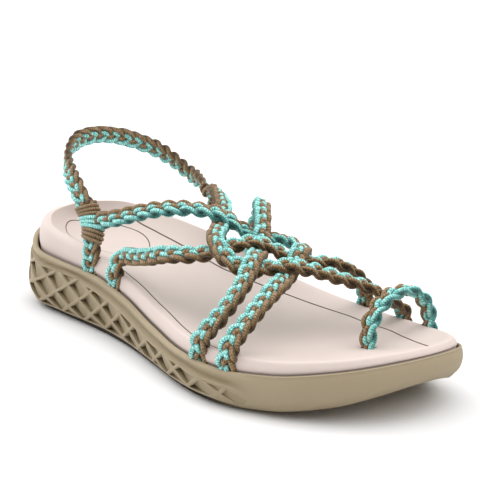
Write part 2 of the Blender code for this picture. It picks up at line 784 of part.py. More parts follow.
def main():
    """Build the sandal in an empty scene."""
    for item in list(bpy.data.objects):
        bpy.data.objects.remove(item, do_unlink=True)
    sandal = bpy.data.collections.new("walking_sandal")
    cutters = bpy.data.collections.new("cutters")
    for collection in (sandal, cutters):
        bpy.context.scene.collection.children.link(collection)
    pieces = [
        make_outsole(sandal, cutters),
        make_footbed(sandal, cutters),
        make_upper(sandal, cutters),
        sweep("toe_loop", toe_loop_route(), braid_section, sandal),
    ]
    for piece in pieces:
        give_material(piece)
    for tool in cutters.objects:
        tool.hide_render = True
        tool.display_type = "WIRE"


main()
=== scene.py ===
"""Looks of a right-foot walking sandal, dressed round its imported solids.

Tables and sizes are in millimetres, and meshes are made in metres. The frame has +Y to the toe,
+X to the wearer's right and +Z up, with the origin on the floor under the middle of the sole.
"""
import json
import logging
from dataclasses import dataclass, field
from enum import Enum
from math import cos, pi, radians, sin
from typing import ClassVar, NamedTuple, Sequence

import bmesh
import bpy
import numpy as np
from bmesh.types import BMEdge, BMesh, BMFace, BMVert
from mathutils import Matrix, Vector
from mathutils.bvhtree import BVHTree

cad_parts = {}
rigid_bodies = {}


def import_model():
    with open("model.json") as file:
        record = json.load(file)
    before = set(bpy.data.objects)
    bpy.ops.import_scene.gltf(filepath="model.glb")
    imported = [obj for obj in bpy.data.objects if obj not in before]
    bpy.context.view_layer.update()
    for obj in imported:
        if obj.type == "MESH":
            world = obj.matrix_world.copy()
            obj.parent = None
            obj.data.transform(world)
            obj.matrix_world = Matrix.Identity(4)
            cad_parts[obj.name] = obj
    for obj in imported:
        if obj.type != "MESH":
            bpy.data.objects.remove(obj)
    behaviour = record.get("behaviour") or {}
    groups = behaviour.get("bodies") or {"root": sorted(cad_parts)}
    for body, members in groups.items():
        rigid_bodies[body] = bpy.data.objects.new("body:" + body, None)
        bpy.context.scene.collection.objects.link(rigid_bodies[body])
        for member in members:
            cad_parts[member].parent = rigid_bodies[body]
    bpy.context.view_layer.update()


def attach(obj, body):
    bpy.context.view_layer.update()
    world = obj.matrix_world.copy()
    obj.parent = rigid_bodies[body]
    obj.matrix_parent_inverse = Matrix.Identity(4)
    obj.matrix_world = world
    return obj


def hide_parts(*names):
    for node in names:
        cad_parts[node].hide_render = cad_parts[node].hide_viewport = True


MM = 0.001
TABLE_ZERO = np.array((-0.14, 1.55, 0.0))
CURVE_STEPS = 24
WELD_DISTANCE = 1e-5
CUT_TOLERANCE = 1e-7
QUAD = 4
HALF_TURN = 180
FULL_TURN = 360
ALL_SMOOTH = 180.0
BODY = "root"
# name of the vertex attribute that carries painted shade, from 0 up, on the sole and the cords
PAINTED_SHADE = "painted_shade"
log = logging.getLogger("walking_sandal")

Colour = tuple[float, float, float, float]
Place = tuple[float, float, float]


class Side(Enum):
    """A side of the foot, with its sign across the sole."""

    LATERAL = 1
    MEDIAL = -1


class CordColour(Enum):
    """The two colours of knitted cord."""

    TURQUOISE = "turquoise"
    BROWN = "brown"


class Way(Enum):
    """A way along a strap's own course, with its sign."""

    AHEAD = 1
    BEHIND = -1


class Hand(Enum):
    """A side of a strand, seen from outside with the strap's course going up, with its sign."""

    RIGHT = 1
    LEFT = -1


# Tables of the sole

class Station(NamedTuple):
    """A row of the sole: half widths of the footbed and heights, at a distance along the foot."""

    along: float
    lateral: float
    medial: float
    ground: float
    rim: float
    bed_lateral: float
    bed_medial: float
    seat: float


SOLE = (
    Station(-129, 0.0, 0.0, 4.5, 39.0, 44.5, 45.5, 43.5),
    Station(-120, 23.0, -22.5, 1.6, 35.0, 44.0, 45.0, 36.5),
    Station(-104, 33.6, -32.5, 0.0, 29.6, 41.0, 43.0, 31.5),
    Station(-80, 34.4, -33.8, 0.0, 28.0, 37.8, 41.5, 29.8),
    Station(-50, 34.0, -33.2, 0.0, 27.4, 34.6, 39.8, 28.8),
    Station(-20, 35.8, -33.5, 0.0, 24.0, 30.0, 35.2, 26.2),
    Station(12, 41.0, -38.0, 0.0, 19.0, 25.0, 28.5, 22.2),
    Station(42, 46.2, -44.0, 0.0, 16.6, 22.2, 23.8, 19.4),
    Station(66, 46.4, -46.6, 0.5, 16.2, 21.6, 22.4, 18.8),
    Station(92, 38.5, -45.5, 2.7, 18.0, 23.0, 23.4, 20.2),
    Station(112, 24.0, -40.0, 6.6, 21.6, 25.6, 25.8, 23.4),
    Station(123, 9.0, -31.5, 10.7, 24.4, 27.6, 27.6, 26.2),
    Station(128.5, -13.0, -13.0, 13.6, 26.0, 28.6, 28.6, 28.0),
)


class SideLevel(NamedTuple):
    """A level of the sole's side: its share of a band's height, and how far it stands out from the edge."""

    share: float
    bulge: float


LATTICE_WALL = (SideLevel(0.0, -1.4), SideLevel(0.14, 0.9), SideLevel(0.5, 2.9), SideLevel(1.0, 3.8))
HEEL_SWELL = (
    SideLevel(0.0, 0.4),
    SideLevel(0.2, 0.95),
    SideLevel(0.45, 1.15),
    SideLevel(0.6, 1.08),
    SideLevel(0.83, 0.5),
    SideLevel(1.0, 0.3),
)
TOE_WALL = (
    SideLevel(0.0, -1.6),
    SideLevel(0.1, -0.3),
    SideLevel(0.25, 0.9),
    SideLevel(0.45, 1.8),
    SideLevel(0.68, 2.2),
    SideLevel(0.85, 2.0),
    SideLevel(0.95, 1.5),
    SideLevel(1.0, 0.9),
)
RIM_PROFILE = (
    SideLevel(0.0, 3.8),
    SideLevel(0.25, 2.8),
    SideLevel(0.62, 2.2),
    SideLevel(0.9, 1.9),
    SideLevel(1.0, 1.1),
)


class BedLevel(NamedTuple):
    """A level of the footbed's wall: its share of the height over the rim, and its front and heel bulge."""

    share: float
    front: float
    heel: float


BED_WALL = (
    BedLevel(0.0, -0.75, -0.75),
    BedLevel(0.06, -0.5, -0.5),
    BedLevel(0.16, -0.35, -0.35),
    BedLevel(0.35, -0.45, -0.4),
    BedLevel(0.55, -0.85, -0.75),
    BedLevel(0.75, -1.35, -1.4),
    BedLevel(0.88, -1.75, -2.2),
    BedLevel(0.95, -2.1, -3.1),
    BedLevel(0.985, -2.5, -4.3),
    BedLevel(1.0, -3.4, -6.5),
)


class LatticeLine(NamedTuple):
    """The lattice along the foot: its top line's drop under the wall's ridge, and its first row."""

    along: float
    drop: float
    base: float


LATTICE_LINES = (
    LatticeLine(-129, -2.6, 12.1),
    LatticeLine(-118, -2.4, 11.4),
    LatticeLine(-106, -1.8, 10.4),
    LatticeLine(-96, -0.8, 9.0),
    LatticeLine(-86, -0.9, 8.1),
    LatticeLine(-72, -2.0, 7.9),
    LatticeLine(-62, -1.9, 8.0),
    LatticeLine(-51, -0.6, 8.3),
    LatticeLine(-35, -0.1, 9.6),
    LatticeLine(-14, 0.0, 11.1),
    LatticeLine(18, -0.6, 12.5),
    LatticeLine(34, -1.1, 13.6),
    LatticeLine(48, -1.1, 14.7),
    LatticeLine(60, -0.3, 15.8),
    LatticeLine(72, 0.0, 17.2),
    LatticeLine(80, 1.8, 18.5),
    LatticeLine(85, 4.0, 19.3),
    LatticeLine(91, 6.6, 20.2),
)


class BandRow(NamedTuple):
    """A row of the smooth band: its share of the way from lattice to rim, and its stand off the wall."""

    share: float
    proud: float


BAND_ROWS = (
    BandRow(0.015, 0.3),
    BandRow(0.05, 0.45),
    BandRow(0.09, 0.0),
    BandRow(0.14, -0.75),
    BandRow(0.22, -1.1),
    BandRow(0.34, -0.9),
    BandRow(0.48, -0.3),
    BandRow(0.62, 0.4),
    BandRow(0.75, 0.75),
    BandRow(0.86, 0.75),
    BandRow(0.94, 0.5),
)


class LipRow(NamedTuple):
    """A row of the rim's lip and the tray in it: its drop under the rim, its bulge and its painted shade,
    for the dark crease at the footbed.
    """

    drop: float
    bulge: float
    shade: float


LIP_ROWS = (
    LipRow(0.12, 1.55, 0.0),
    LipRow(-0.04, 1.1, 0.0),
    LipRow(0.02, 0.6, 0.1),
    LipRow(0.3, 0.3, 1.3),
    LipRow(1.2, 0.02, 1.7),
)


class GroundRow(NamedTuple):
    """A row of the underside: its bulge from the edge, and its lift off the ground."""

    bulge: float
    lift: float


GROUND_ROWS = (GroundRow(-0.7, 2.9), GroundRow(-0.9, 0.0), GroundRow(-3.0, 0.0), GroundRow(-13.0, 0.0))


class GrooveStop(NamedTuple):
    """A point of a moulded line in the footbed."""

    along: float
    across: float


INNER_LINE = (
    GrooveStop(-104, -20.6),
    GrooveStop(-82, -20.0),
    GrooveStop(-62, -19.3),
    GrooveStop(-40, -18.2),
    GrooveStop(-22, -18.0),
    GrooveStop(-7, -19.8),
    GrooveStop(9, -22.8),
    GrooveStop(28, -27.0),
    GrooveStop(44, -30.2),
    GrooveStop(60, -32.2),
    GrooveStop(78, -32.2),
    GrooveStop(94, -29.2),
    GrooveStop(109, -24.4),
    GrooveStop(120, -20.2),
)
OUTER_LINE = (
    GrooveStop(-46, 26.0),
    GrooveStop(-26, 28.0),
    GrooveStop(-16, 29.2),
    GrooveStop(-2, 31.8),
    GrooveStop(14, 34.6),
    GrooveStop(29, 38.0),
    GrooveStop(44, 40.6),
    GrooveStop(60, 41.4),
    GrooveStop(76, 39.6),
)


class Oval(NamedTuple):
    """A moulded oval in the footbed: its middle, its half width and its half length."""

    across: float
    along: float
    wide: float
    long: float


HEEL_OVAL = Oval(2.0, -91.5, 18.0, 28.0)


# Tables of the straps

class Crest(NamedTuple):
    """Height of the straps' middle over the top of the foot, at a distance along it."""

    along: float
    height: float


FOOT_CREST = (
    Crest(-90, 84),
    Crest(-60, 76),
    Crest(-40, 71),
    Crest(-16, 65.5),
    Crest(6, 60.5),
    Crest(20, 56.5),
    Crest(35, 53),
    Crest(50, 49),
    Crest(62, 45.5),
    Crest(76, 41),
    Crest(100, 36),
)


class Via(NamedTuple):
    """A point of a strap on the foot, with its girth in degrees from the lateral edge, and its lift."""

    along: float
    girth: float
    lift: float


class Anchor(NamedTuple):
    """Where a strap goes down into the sole at an edge, and the degrees its face is turned to the toe."""

    along: float
    side: Side
    turned: float = 0.0


CROSSING_LIFT = 2.2
OVER = CROSSING_LIFT
LEVEL = 0.0
UNDER = -CROSSING_LIFT
LATERAL_BINDING = Via(-58, 18, 1.0)
MEDIAL_BINDING = Via(-46, 148, 4.0)
HEEL_ANCHORS = (Anchor(-54, Side.LATERAL, 18), Anchor(-42, Side.MEDIAL))
TOE_LOOP_ANCHOR = Anchor(94.0, Side.MEDIAL)
TOE_LOOP_INNER = -10.0


class StrapPlan(NamedTuple):
    """A strap over the instep: its stops, the side its turquoise cords lie on, and its chevrons."""

    name: str
    turquoise_side: Hand
    chevron: Way
    lobes: tuple[float, float]
    stops: tuple[Via | Anchor, ...]


INSTEP_STRAPS = (
    StrapPlan("front_to_waist", Hand.LEFT, Way.BEHIND, (6.1, 6.4), (
        Anchor(55, Side.LATERAL, 18), Via(58, 22, LEVEL), Via(55, 56, LEVEL), Via(46, 76, OVER),
        Via(36, 90, UNDER), Via(25, 101, 4.0), Via(15, 110, 7.5), Via(4, 124, 8.0), Via(-6, 144, 6.0),
        Via(-13, 164, 2.0), Anchor(-16, Side.MEDIAL),
    )),
    StrapPlan("waist_to_front", Hand.LEFT, Way.AHEAD, (7.4, 6.6), (
        Anchor(-31, Side.LATERAL, 15), Via(-30, 9, LEVEL), Via(-14, 18, LEVEL), Via(6, 35, LEVEL),
        Via(24, 62, UNDER), Via(35, 88, OVER), Via(47, 104, UNDER), Via(55, 124, 1.5), Via(58, 147, 1.0),
        Anchor(53, Side.MEDIAL),
    )),
    StrapPlan("lateral_turn", Hand.RIGHT, Way.AHEAD, (8.6, 5.9), (
        LATERAL_BINDING, Via(-40, 32, LEVEL), Via(-18, 58, 1.0), Via(-2, 76, 3.0), Via(9, 88, 3.0),
        Via(20, 101, UNDER), Via(30, 118, LEVEL), Via(40, 117, LEVEL), Via(47, 104, OVER),
        Via(57, 88, UNDER), Via(66, 68, LEVEL), Via(72, 38, LEVEL), Anchor(72, Side.LATERAL, 10),
    )),
    StrapPlan("medial_turn", Hand.LEFT, Way.AHEAD, (7.0, 7.0), (
        MEDIAL_BINDING, Via(-32, 135, 3.0), Via(-17, 119, 1.0), Via(-4, 104, LEVEL), Via(9, 89, -1.6),
        Via(24, 70, OVER), Via(36, 66, LEVEL), Via(46, 72, UNDER), Via(57, 88, OVER), Via(66, 109, LEVEL),
        Via(74, 130, LEVEL), Via(77, 150, -1.0), Anchor(76, Side.MEDIAL),
    )),
)


class Winding(NamedTuple):
    """A band of cord wound round the heel strap, from the sole upwards: its turns and its cord's radius."""

    colour: CordColour
    turns: float
    radius: float


class Binding(NamedTuple):
    """Cord wound round the heel strap: its middle, the strap's way up, its half sizes, tilt and bands."""

    via: Via
    upwards: Way
    wide: float
    thick: float
    tilt: float
    windings: tuple[Winding, ...]


BINDINGS = (
    Binding(LATERAL_BINDING, Way.AHEAD, 5.0, 3.3, -1.3, (
        Winding(CordColour.BROWN, 3.0, 1.0),
        Winding(CordColour.TURQUOISE, 3.0, 1.1),
        Winding(CordColour.BROWN, 3.0, 0.9),
    )),
    Binding(MEDIAL_BINDING, Way.BEHIND, 2.9, 2.4, 0.0, (
        Winding(CordColour.BROWN, 2.0, 1.2),
    )),
)


# Curves and tables

def monotone(known: np.ndarray, values: np.ndarray, places: np.ndarray) -> np.ndarray:
    """Read a table on a smooth curve that stays flat where its rows are.

    Args:
        known: places of the table's rows, rising.
        values: the value at each row.
        places: where to read the curve.

    Returns:
        The values at the places.
    """
    climbs = np.diff(values) / np.diff(known)
    same_way = climbs[:-1] * climbs[1:] > 0
    mean = 2 * climbs[:-1] * climbs[1:] / np.where(same_way, climbs[:-1] + climbs[1:], 1.0)
    slopes = np.concatenate((climbs[:1], np.where(same_way, mean, 0.0), climbs[-1:]))
    place = np.clip(np.asarray(places, dtype=float), known[0], known[-1])
    span = np.clip(np.searchsorted(known, place) - 1, 0, len(known) - 2)
    width = known[span + 1] - known[span]
    t = (place - known[span]) / width
    start = (1 + 2 * t) * (1 - t) ** 2 * values[span] + t * (1 - t) ** 2 * width * slopes[span]
    finish = t * t * (3 - 2 * t) * values[span + 1] + t * t * (t - 1) * width * slopes[span + 1]
    return start + finish


def read_table(rows: Sequence[NamedTuple], column: str, places: np.ndarray) -> np.ndarray:
    """Read a column of a table whose first column gives the place.

    Args:
        rows: the table.
        column: the name of the column to read.
        places: where to read it.

    Returns:
        The column's values at the places.
    """
    known = np.array([row[0] for row in rows], dtype=float)
    values = np.array([getattr(row, column) for row in rows], dtype=float)
    return monotone(known, values, places)


def smooth_curve(points: Sequence[Sequence[float]], closed: bool) -> tuple[np.ndarray, np.ndarray]:
    """Run a smooth curve through points.

    Args:
        points: rows of numbers that start with x, y and z.
        closed: whether the curve comes back to its first point.

    Returns:
        Many rows on the curve, and the arc length at each.
    """
    knots = np.array(points, dtype=float)
    if closed:
        knots = np.vstack((knots[-2:], knots, knots[:3]))
    else:
        knots = np.vstack((2 * knots[0] - knots[1], knots, 2 * knots[-1] - knots[-2]))
    chords = np.linalg.norm(np.diff(knots[:, :3], axis=0), axis=1)
    times = np.concatenate(([0.0], np.cumsum(np.sqrt(chords))))
    slopes = np.gradient(knots, times, axis=0)
    first = 2 if closed else 1
    last = len(knots) - 3 if closed else len(knots) - 2
    dense = []
    for span in range(first, last):
        width = times[span + 1] - times[span]
        for step in range(CURVE_STEPS):
            t = step / CURVE_STEPS
            dense.append(
                (1 + 2 * t) * (1 - t) ** 2 * knots[span] + t * (1 - t) ** 2 * width * slopes[span]
                + t * t * (3 - 2 * t) * knots[span + 1] + t * t * (t - 1) * width * slopes[span + 1]
            )
    dense.append(knots[last])
    dense = np.array(dense)
    steps = np.linalg.norm(np.diff(dense[:, :3], axis=0), axis=1)
    return dense, np.concatenate(([0.0], np.cumsum(steps)))


def read_curve(dense: np.ndarray, lengths: np.ndarray, places: np.ndarray) -> np.ndarray:
    """Read a dense curve at the given arc lengths."""
    return np.column_stack([np.interp(places, lengths, column) for column in dense.T])


def unit(rows: np.ndarray) -> np.ndarray:
    """Scale each row to a length of one."""
    return rows / np.linalg.norm(rows, axis=-1, keepdims=True)


def soft_step(share: np.ndarray) -> np.ndarray:
    """Ease from zero to one as a share goes from zero to one."""
    eased = np.clip(share, 0, 1)
    return eased * eased * (3 - 2 * eased)


# Mesh helpers

def to_frame(points: np.ndarray) -> np.ndarray:
    """Turn points of the tables, in millimetres, into points of the frame, in metres."""
    return (np.asarray(points, dtype=float) + TABLE_ZERO) * MM


def kept(geometry: Sequence, kind: type) -> list:
    """Return the elements of one kind from an operator's result."""
    return [element for element in geometry if isinstance(element, kind)]


def boundary(bm: BMesh) -> list[BMEdge]:
    """Return the edges that have one face."""
    return [edge for edge in bm.edges if edge.is_boundary]


def make_object(name: str, bm: BMesh, sharp_degrees: float) -> bpy.types.Object:
    """Turn a bmesh into a smooth object of the scene.

    Args:
        name: the piece's name.
        bm: its mesh, which is freed.
        sharp_degrees: the angle from which an edge stays sharp.

    Returns:
        The new object.
    """
    mesh = bpy.data.meshes.new(name)
    bm.to_mesh(mesh)
    bm.free()
    mesh.shade_smooth()
    mesh.set_sharp_from_angle(angle=radians(sharp_degrees))
    item = bpy.data.objects.new(name, mesh)
    bpy.context.scene.collection.objects.link(item)
    return item


def split_large(bm: BMesh) -> None:
    """Split faces of more than four corners into triangles."""
    bmesh.ops.triangulate(bm, faces=[face for face in bm.faces if len(face.verts) > QUAD])


def apply_cuts(item: bpy.types.Object, cutters: Sequence[bpy.types.Object], sharp_degrees: float) -> None:
    """Cut an object with others, weld the slivers that this leaves, and remove the cutters.

    Args:
        item: the object to cut.
        cutters: closed meshes whose materials the cut faces take.
        sharp_degrees: the angle from which an edge of the result stays sharp.
    """
    for cutter in cutters:
        modifier = item.modifiers.new(cutter.name, "BOOLEAN")
        modifier.operation = "DIFFERENCE"
        modifier.solver = "EXACT"
        modifier.material_mode = "TRANSFER"
        modifier.object = cutter
    graph = bpy.context.evaluated_depsgraph_get()
    mesh = bpy.data.meshes.new_from_object(item.evaluated_get(graph))
    item.modifiers.clear()
    bm = bmesh.new()
    bm.from_mesh(mesh)
    bmesh.ops.remove_doubles(bm, verts=bm.verts, dist=WELD_DISTANCE)
    bmesh.ops.dissolve_degenerate(bm, dist=WELD_DISTANCE, edges=bm.edges)
    split_large(bm)
    bm.to_mesh(mesh)
    bm.free()
    old = item.data
    item.data = mesh
    bpy.data.meshes.remove(old)
    mesh.name = item.name
    mesh.shade_smooth()
    mesh.set_sharp_from_angle(angle=radians(sharp_degrees))
    for cutter in cutters:
        bpy.data.objects.remove(cutter, do_unlink=True)


# Shader nodes

class NodePlan:
    """Adds nodes to a tree and links them."""

    def __init__(self, tree: bpy.types.NodeTree) -> None:
        """Keep the tree that the nodes go into."""
        self.tree = tree

    def add(self, kind: str, settings: dict | None = None, inputs: dict | None = None) -> bpy.types.Node:
        """Add a node.

        Args:
            kind: the node's type.
            settings: properties to set on it.
            inputs: values or sockets for its inputs, by name or number.

        Returns:
            The new node.
        """
        node = self.tree.nodes.new(kind)
        for name, value in (settings or {}).items():
            setattr(node, name, value)
        self.feed(node, inputs or {})
        return node

    def feed(self, node: bpy.types.Node, inputs: dict) -> None:
        """Give a node's inputs their values.

        Args:
            node: the node.
            inputs: values or sockets, by the name or number of the input.
        """
        for name, value in inputs.items():
            if isinstance(value, bpy.types.NodeSocket):
                self.tree.links.new(value, node.inputs[name])
            else:
                node.inputs[name].default_value = value

    def group(self, tree: bpy.types.NodeTree, inputs: dict) -> bpy.types.Node:
        """Place a node group with its own values, and return its node."""
        return self.add("ShaderNodeGroup", {"node_tree": tree}, inputs)

    def math(self, operation: str, *values: object) -> bpy.types.NodeSocket:
        """Work out a value from sockets and numbers, and return its socket."""
        node = self.add("ShaderNodeMath", {"operation": operation}, dict(enumerate(values)))
        return node.outputs[0]


class SharedShading:
    """Node groups for the effects that more than one material has."""

    FURROW_STEEP = 6.0
    FURROW_ROUND = 0.5
    STITCH_HEIGHT = 0.5
    STITCH_HIGHLIGHT = 0.12
    HOLLOW_COLOUR = 0.4
    PALE_COLOUR = -0.7
    LEAST_COLOUR = 0.2
    MIDDLE_TONE = 0.5

    def __init__(self) -> None:
        """Build the groups."""
        self.grain = self._grain()
        self.knit = self._knit()
        self.tint = self._tint()

    @staticmethod
    def _new_group(name: str, inputs: dict[str, float],
                   outputs: Sequence[str]) -> tuple[NodePlan, bpy.types.Node, bpy.types.Node]:
        """Start a node group with named sockets.

        Args:
            name: the group's name.
            inputs: names of its float inputs, with their defaults; Vector and Colour have their own types.
            outputs: names of its outputs; Colour has its own type.

        Returns:
            A plan of the group's tree, its input node and its output node.
        """
        kinds = {"Vector": "NodeSocketVector", "Colour": "NodeSocketColor"}
        tree = bpy.data.node_groups.new(name, "ShaderNodeTree")
        for key, default in inputs.items():
            kind = kinds.get(key, "NodeSocketFloat")
            socket = tree.interface.new_socket(key, in_out="INPUT", socket_type=kind)
            if key not in kinds:
                socket.default_value = default
        for key in outputs:
            tree.interface.new_socket(key, in_out="OUTPUT", socket_type=kinds.get(key, "NodeSocketFloat"))
        plan = NodePlan(tree)
        return plan, plan.add("NodeGroupInput"), plan.add("NodeGroupOutput")

    def _grain(self) -> bpy.types.NodeTree:
        """Make the fine grain of moulded foam and rubber: a height, and a slow change of tone.

        Returns:
            The node group.
        """
        plan, given, result = self._new_group("moulded_grain", {"Vector": 0, "Fine": 1500, "Slow": 40},
                                              ("Height", "Tone"))
        fine = plan.add("ShaderNodeTexNoise", None, {"Vector": given.outputs["Vector"],
                                                     "Scale": given.outputs["Fine"], "Detail": 3.0})
        cells = plan.add("ShaderNodeTexVoronoi", None, {"Vector": given.outputs["Vector"],
                                                        "Scale": given.outputs["Fine"]})
        slow = plan.add("ShaderNodeTexNoise", None, {"Vector": given.outputs["Vector"],
                                                     "Scale": given.outputs["Slow"], "Detail": 4.0})
        height = plan.math("ADD", fine.outputs["Fac"], cells.outputs["Distance"])
        plan.tree.links.new(height, result.inputs["Height"])
        plan.tree.links.new(slow.outputs["Fac"], result.inputs["Tone"])
        return plan.tree

    def _knit(self) -> bpy.types.NodeTree:
        """Make the small stitches of a round knitted cord, from a map that runs round and along it, with a
        painted highlight on each stitch's crest in its tone.

        Returns:
            The node group.
        """
        plan, given, result = self._new_group("cord_knit", {"Vector": 0, "Wales": 6, "Stitch": 0.9},
                                              ("Height", "Tone"))
        parts = plan.add("ShaderNodeSeparateXYZ", None, {"Vector": given.outputs["Vector"]})
        round_cord = plan.math("MULTIPLY", parts.outputs["X"], given.outputs["Wales"])
        wale = plan.math("PINGPONG", round_cord, 0.5)
        courses = plan.math("DIVIDE", parts.outputs["Y"], given.outputs["Stitch"])
        slanted = plan.math("ADD", courses, wale)
        wave = plan.math("SINE", plan.math("MULTIPLY", slanted, 2 * pi))
        flank = plan.math("MULTIPLY", wale, self.FURROW_STEEP)
        furrow = plan.math("SMOOTH_MIN", flank, 1.0, self.FURROW_ROUND)
        height = plan.math("MULTIPLY_ADD", wave, self.STITCH_HEIGHT, furrow)
        spread = plan.add("ShaderNodeCombineXYZ", None, {"X": round_cord, "Y": courses})
        fibres = plan.add("ShaderNodeTexNoise", None, {"Vector": spread.outputs["Vector"], "Scale": 1.1,
                                                       "Detail": 4.0, "Roughness": 0.65})
        # painted highlight: each stitch's crest is made lighter, on top of the random fibre tone
        light = plan.math("MULTIPLY_ADD", wave, self.STITCH_HIGHLIGHT, fibres.outputs["Fac"])
        plan.tree.links.new(height, result.inputs["Height"])
        plan.tree.links.new(light, result.inputs["Tone"])
        return plan.tree

    def _tint(self) -> bpy.types.NodeTree:
        """Make a colour lighter or darker by a tone, and darker and richer in colour where the mesh carries
        painted shade.

        At the middle tone the colour stays as it is.

        Returns:
            The node group.
        """
        inputs = {"Colour": 0, "Tone": self.MIDDLE_TONE, "Reach": 0.2, "Shade": 0.5}
        plan, given, result = self._new_group("tone_tint", inputs, ("Colour",))
        # painted shade: this attribute darkens the colour by the Shade input, standing in for shade in
        # pockets, creases, gaps and between cords
        hollow = plan.add("ShaderNodeAttribute", {"attribute_name": PAINTED_SHADE})
        centred = plan.math("SUBTRACT", given.outputs["Tone"], self.MIDDLE_TONE)
        toned = plan.math("MULTIPLY_ADD", centred, given.outputs["Reach"], 1.0)
        darkness = plan.math("MULTIPLY", hollow.outputs["Fac"], given.outputs["Shade"])
        value = plan.math("MULTIPLY", toned, plan.math("SUBTRACT", 1.0, darkness))
        faded = plan.math("MULTIPLY", centred, given.outputs["Reach"])
        # painted shade is also made richer in colour
        lively = plan.math("MULTIPLY_ADD", darkness, self.HOLLOW_COLOUR, 1.0)
        # lighter tones are also paler, standing in part for pale highlights; this pales the painted stitch
        # highlights and the random flecks alike
        paled = plan.math("MULTIPLY_ADD", faded, self.PALE_COLOUR, lively)
        depth = plan.math("MAXIMUM", paled, self.LEAST_COLOUR)
        shift = plan.add("ShaderNodeHueSaturation", None, {"Value": value, "Saturation": depth,
                                                           "Color": given.outputs["Colour"]})
        plan.tree.links.new(shift.outputs["Color"], result.inputs["Colour"])
        return plan.tree


def start_material(name: str) -> tuple[bpy.types.Material, NodePlan, bpy.types.Node]:
    """Start a material that has only its Principled shader.

    Args:
        name: the material's name.

    Returns:
        The material, a plan of its tree and its shader.
    """
    material = bpy.data.materials.new(name)
    material.use_nodes = True
    plan = NodePlan(material.node_tree)
    return material, plan, material.node_tree.nodes["Principled BSDF"]


@dataclass(frozen=True)
class MouldedFinish:
    """A matte moulded surface with a fine grain, and painted shade where its mesh carries it, as in the
    sole's pressed pockets.
    """

    name: str
    colour: Colour
    roughness: float
    grain_scale: float
    grain_height: float
    tone_scale: float = 35.0
    tone_reach: float = 0.12
    # how dark the painted shade that the mesh carries is made
    painted_shade_strength: float = 0.0
    grain_strength: float = 0.6
    specular: float = 0.35

    def material(self, shading: SharedShading) -> bpy.types.Material:
        """Make the material with the shared grain and tint.

        Args:
            shading: the node groups that the finishes share.

        Returns:
            The new material.
        """
        material, plan, shader = start_material(self.name)
        where = plan.add("ShaderNodeTexCoord")
        grain = plan.group(shading.grain, {"Vector": where.outputs["Object"], "Fine": self.grain_scale,
                                           "Slow": self.tone_scale})
        tint = plan.group(shading.tint, {"Colour": self.colour, "Tone": grain.outputs["Tone"],
                                         "Reach": self.tone_reach, "Shade": self.painted_shade_strength})
        bump = plan.add("ShaderNodeBump", None, {"Height": grain.outputs["Height"],
                                                 "Distance": self.grain_height * MM,
                                                 "Strength": self.grain_strength})
        plan.feed(shader, {"Base Color": tint.outputs["Colour"], "Normal": bump.outputs["Normal"],
                           "Roughness": self.roughness, "Specular IOR Level": self.specular})
        return material


@dataclass(frozen=True)
class CordFinish:
    """A round knitted cord."""

    colour: Colour
    roughness: float = 0.85
    wales: float = 6.0
    stitch: float = 0.95
    stitch_height: float = 0.28
    tone_reach: float = 2.6
    # how dark the painted shade at the cords' flanks and crossings is made
    painted_shade_strength: float = 0.95
    stitch_strength: float = 0.7
    specular: float = 0.2
    sheen: float = 0.3
    sheen_roughness: float = 0.5

    def material(self, name: str, shading: SharedShading) -> bpy.types.Material:
        """Make the material with the shared knit and tint, on the cords' own map.

        Args:
            name: the material's name.
            shading: the node groups that the finishes share.

        Returns:
            The new material.
        """
        material, plan, shader = start_material(name)
        where = plan.add("ShaderNodeUVMap", {"uv_map": CordBundle.MAP})
        knit = plan.group(shading.knit, {"Vector": where.outputs["UV"], "Wales": self.wales,
                                         "Stitch": self.stitch})
        tint = plan.group(shading.tint, {"Colour": self.colour, "Tone": knit.outputs["Tone"],
                                         "Reach": self.tone_reach, "Shade": self.painted_shade_strength})
        bump = plan.add("ShaderNodeBump", None, {"Height": knit.outputs["Height"],
                                                 "Distance": self.stitch_height * MM,
                                                 "Strength": self.stitch_strength})
        plan.feed(shader, {"Base Color": tint.outputs["Colour"], "Normal": bump.outputs["Normal"],
                           "Roughness": self.roughness, "Specular IOR Level": self.specular,
                           "Sheen Weight": self.sheen, "Sheen Roughness": self.sheen_roughness})
        return material


# the sole's rubber darkens by painted shade in its pockets, its band's hollow, its lip's crease and under
# its wall
SOLE_FINISH = MouldedFinish("sole_rubber", (0.355, 0.286, 0.183, 1.0), 0.62, 1300, 0.05, painted_shade_strength=0.55)
BED_FINISH = MouldedFinish("footbed_foam", (0.66, 0.56, 0.515, 1.0), 0.7, 1700, 0.04, 22.0, 0.08)
# painted shade: the moulded lines are cut into the footbed and take this dark colour, for the shade in the
# narrow grooves
GROOVE_SHADE_FINISH = MouldedFinish("painted_groove_shade", (0.2, 0.15, 0.115, 1.0), 0.8, 1700, 0.03)
CORD_FINISHES = {
    CordColour.TURQUOISE: CordFinish((0.35, 0.82, 0.76, 1.0)),
    CordColour.BROWN: CordFinish((0.32, 0.205, 0.1, 1.0)),
}


# The sole's form

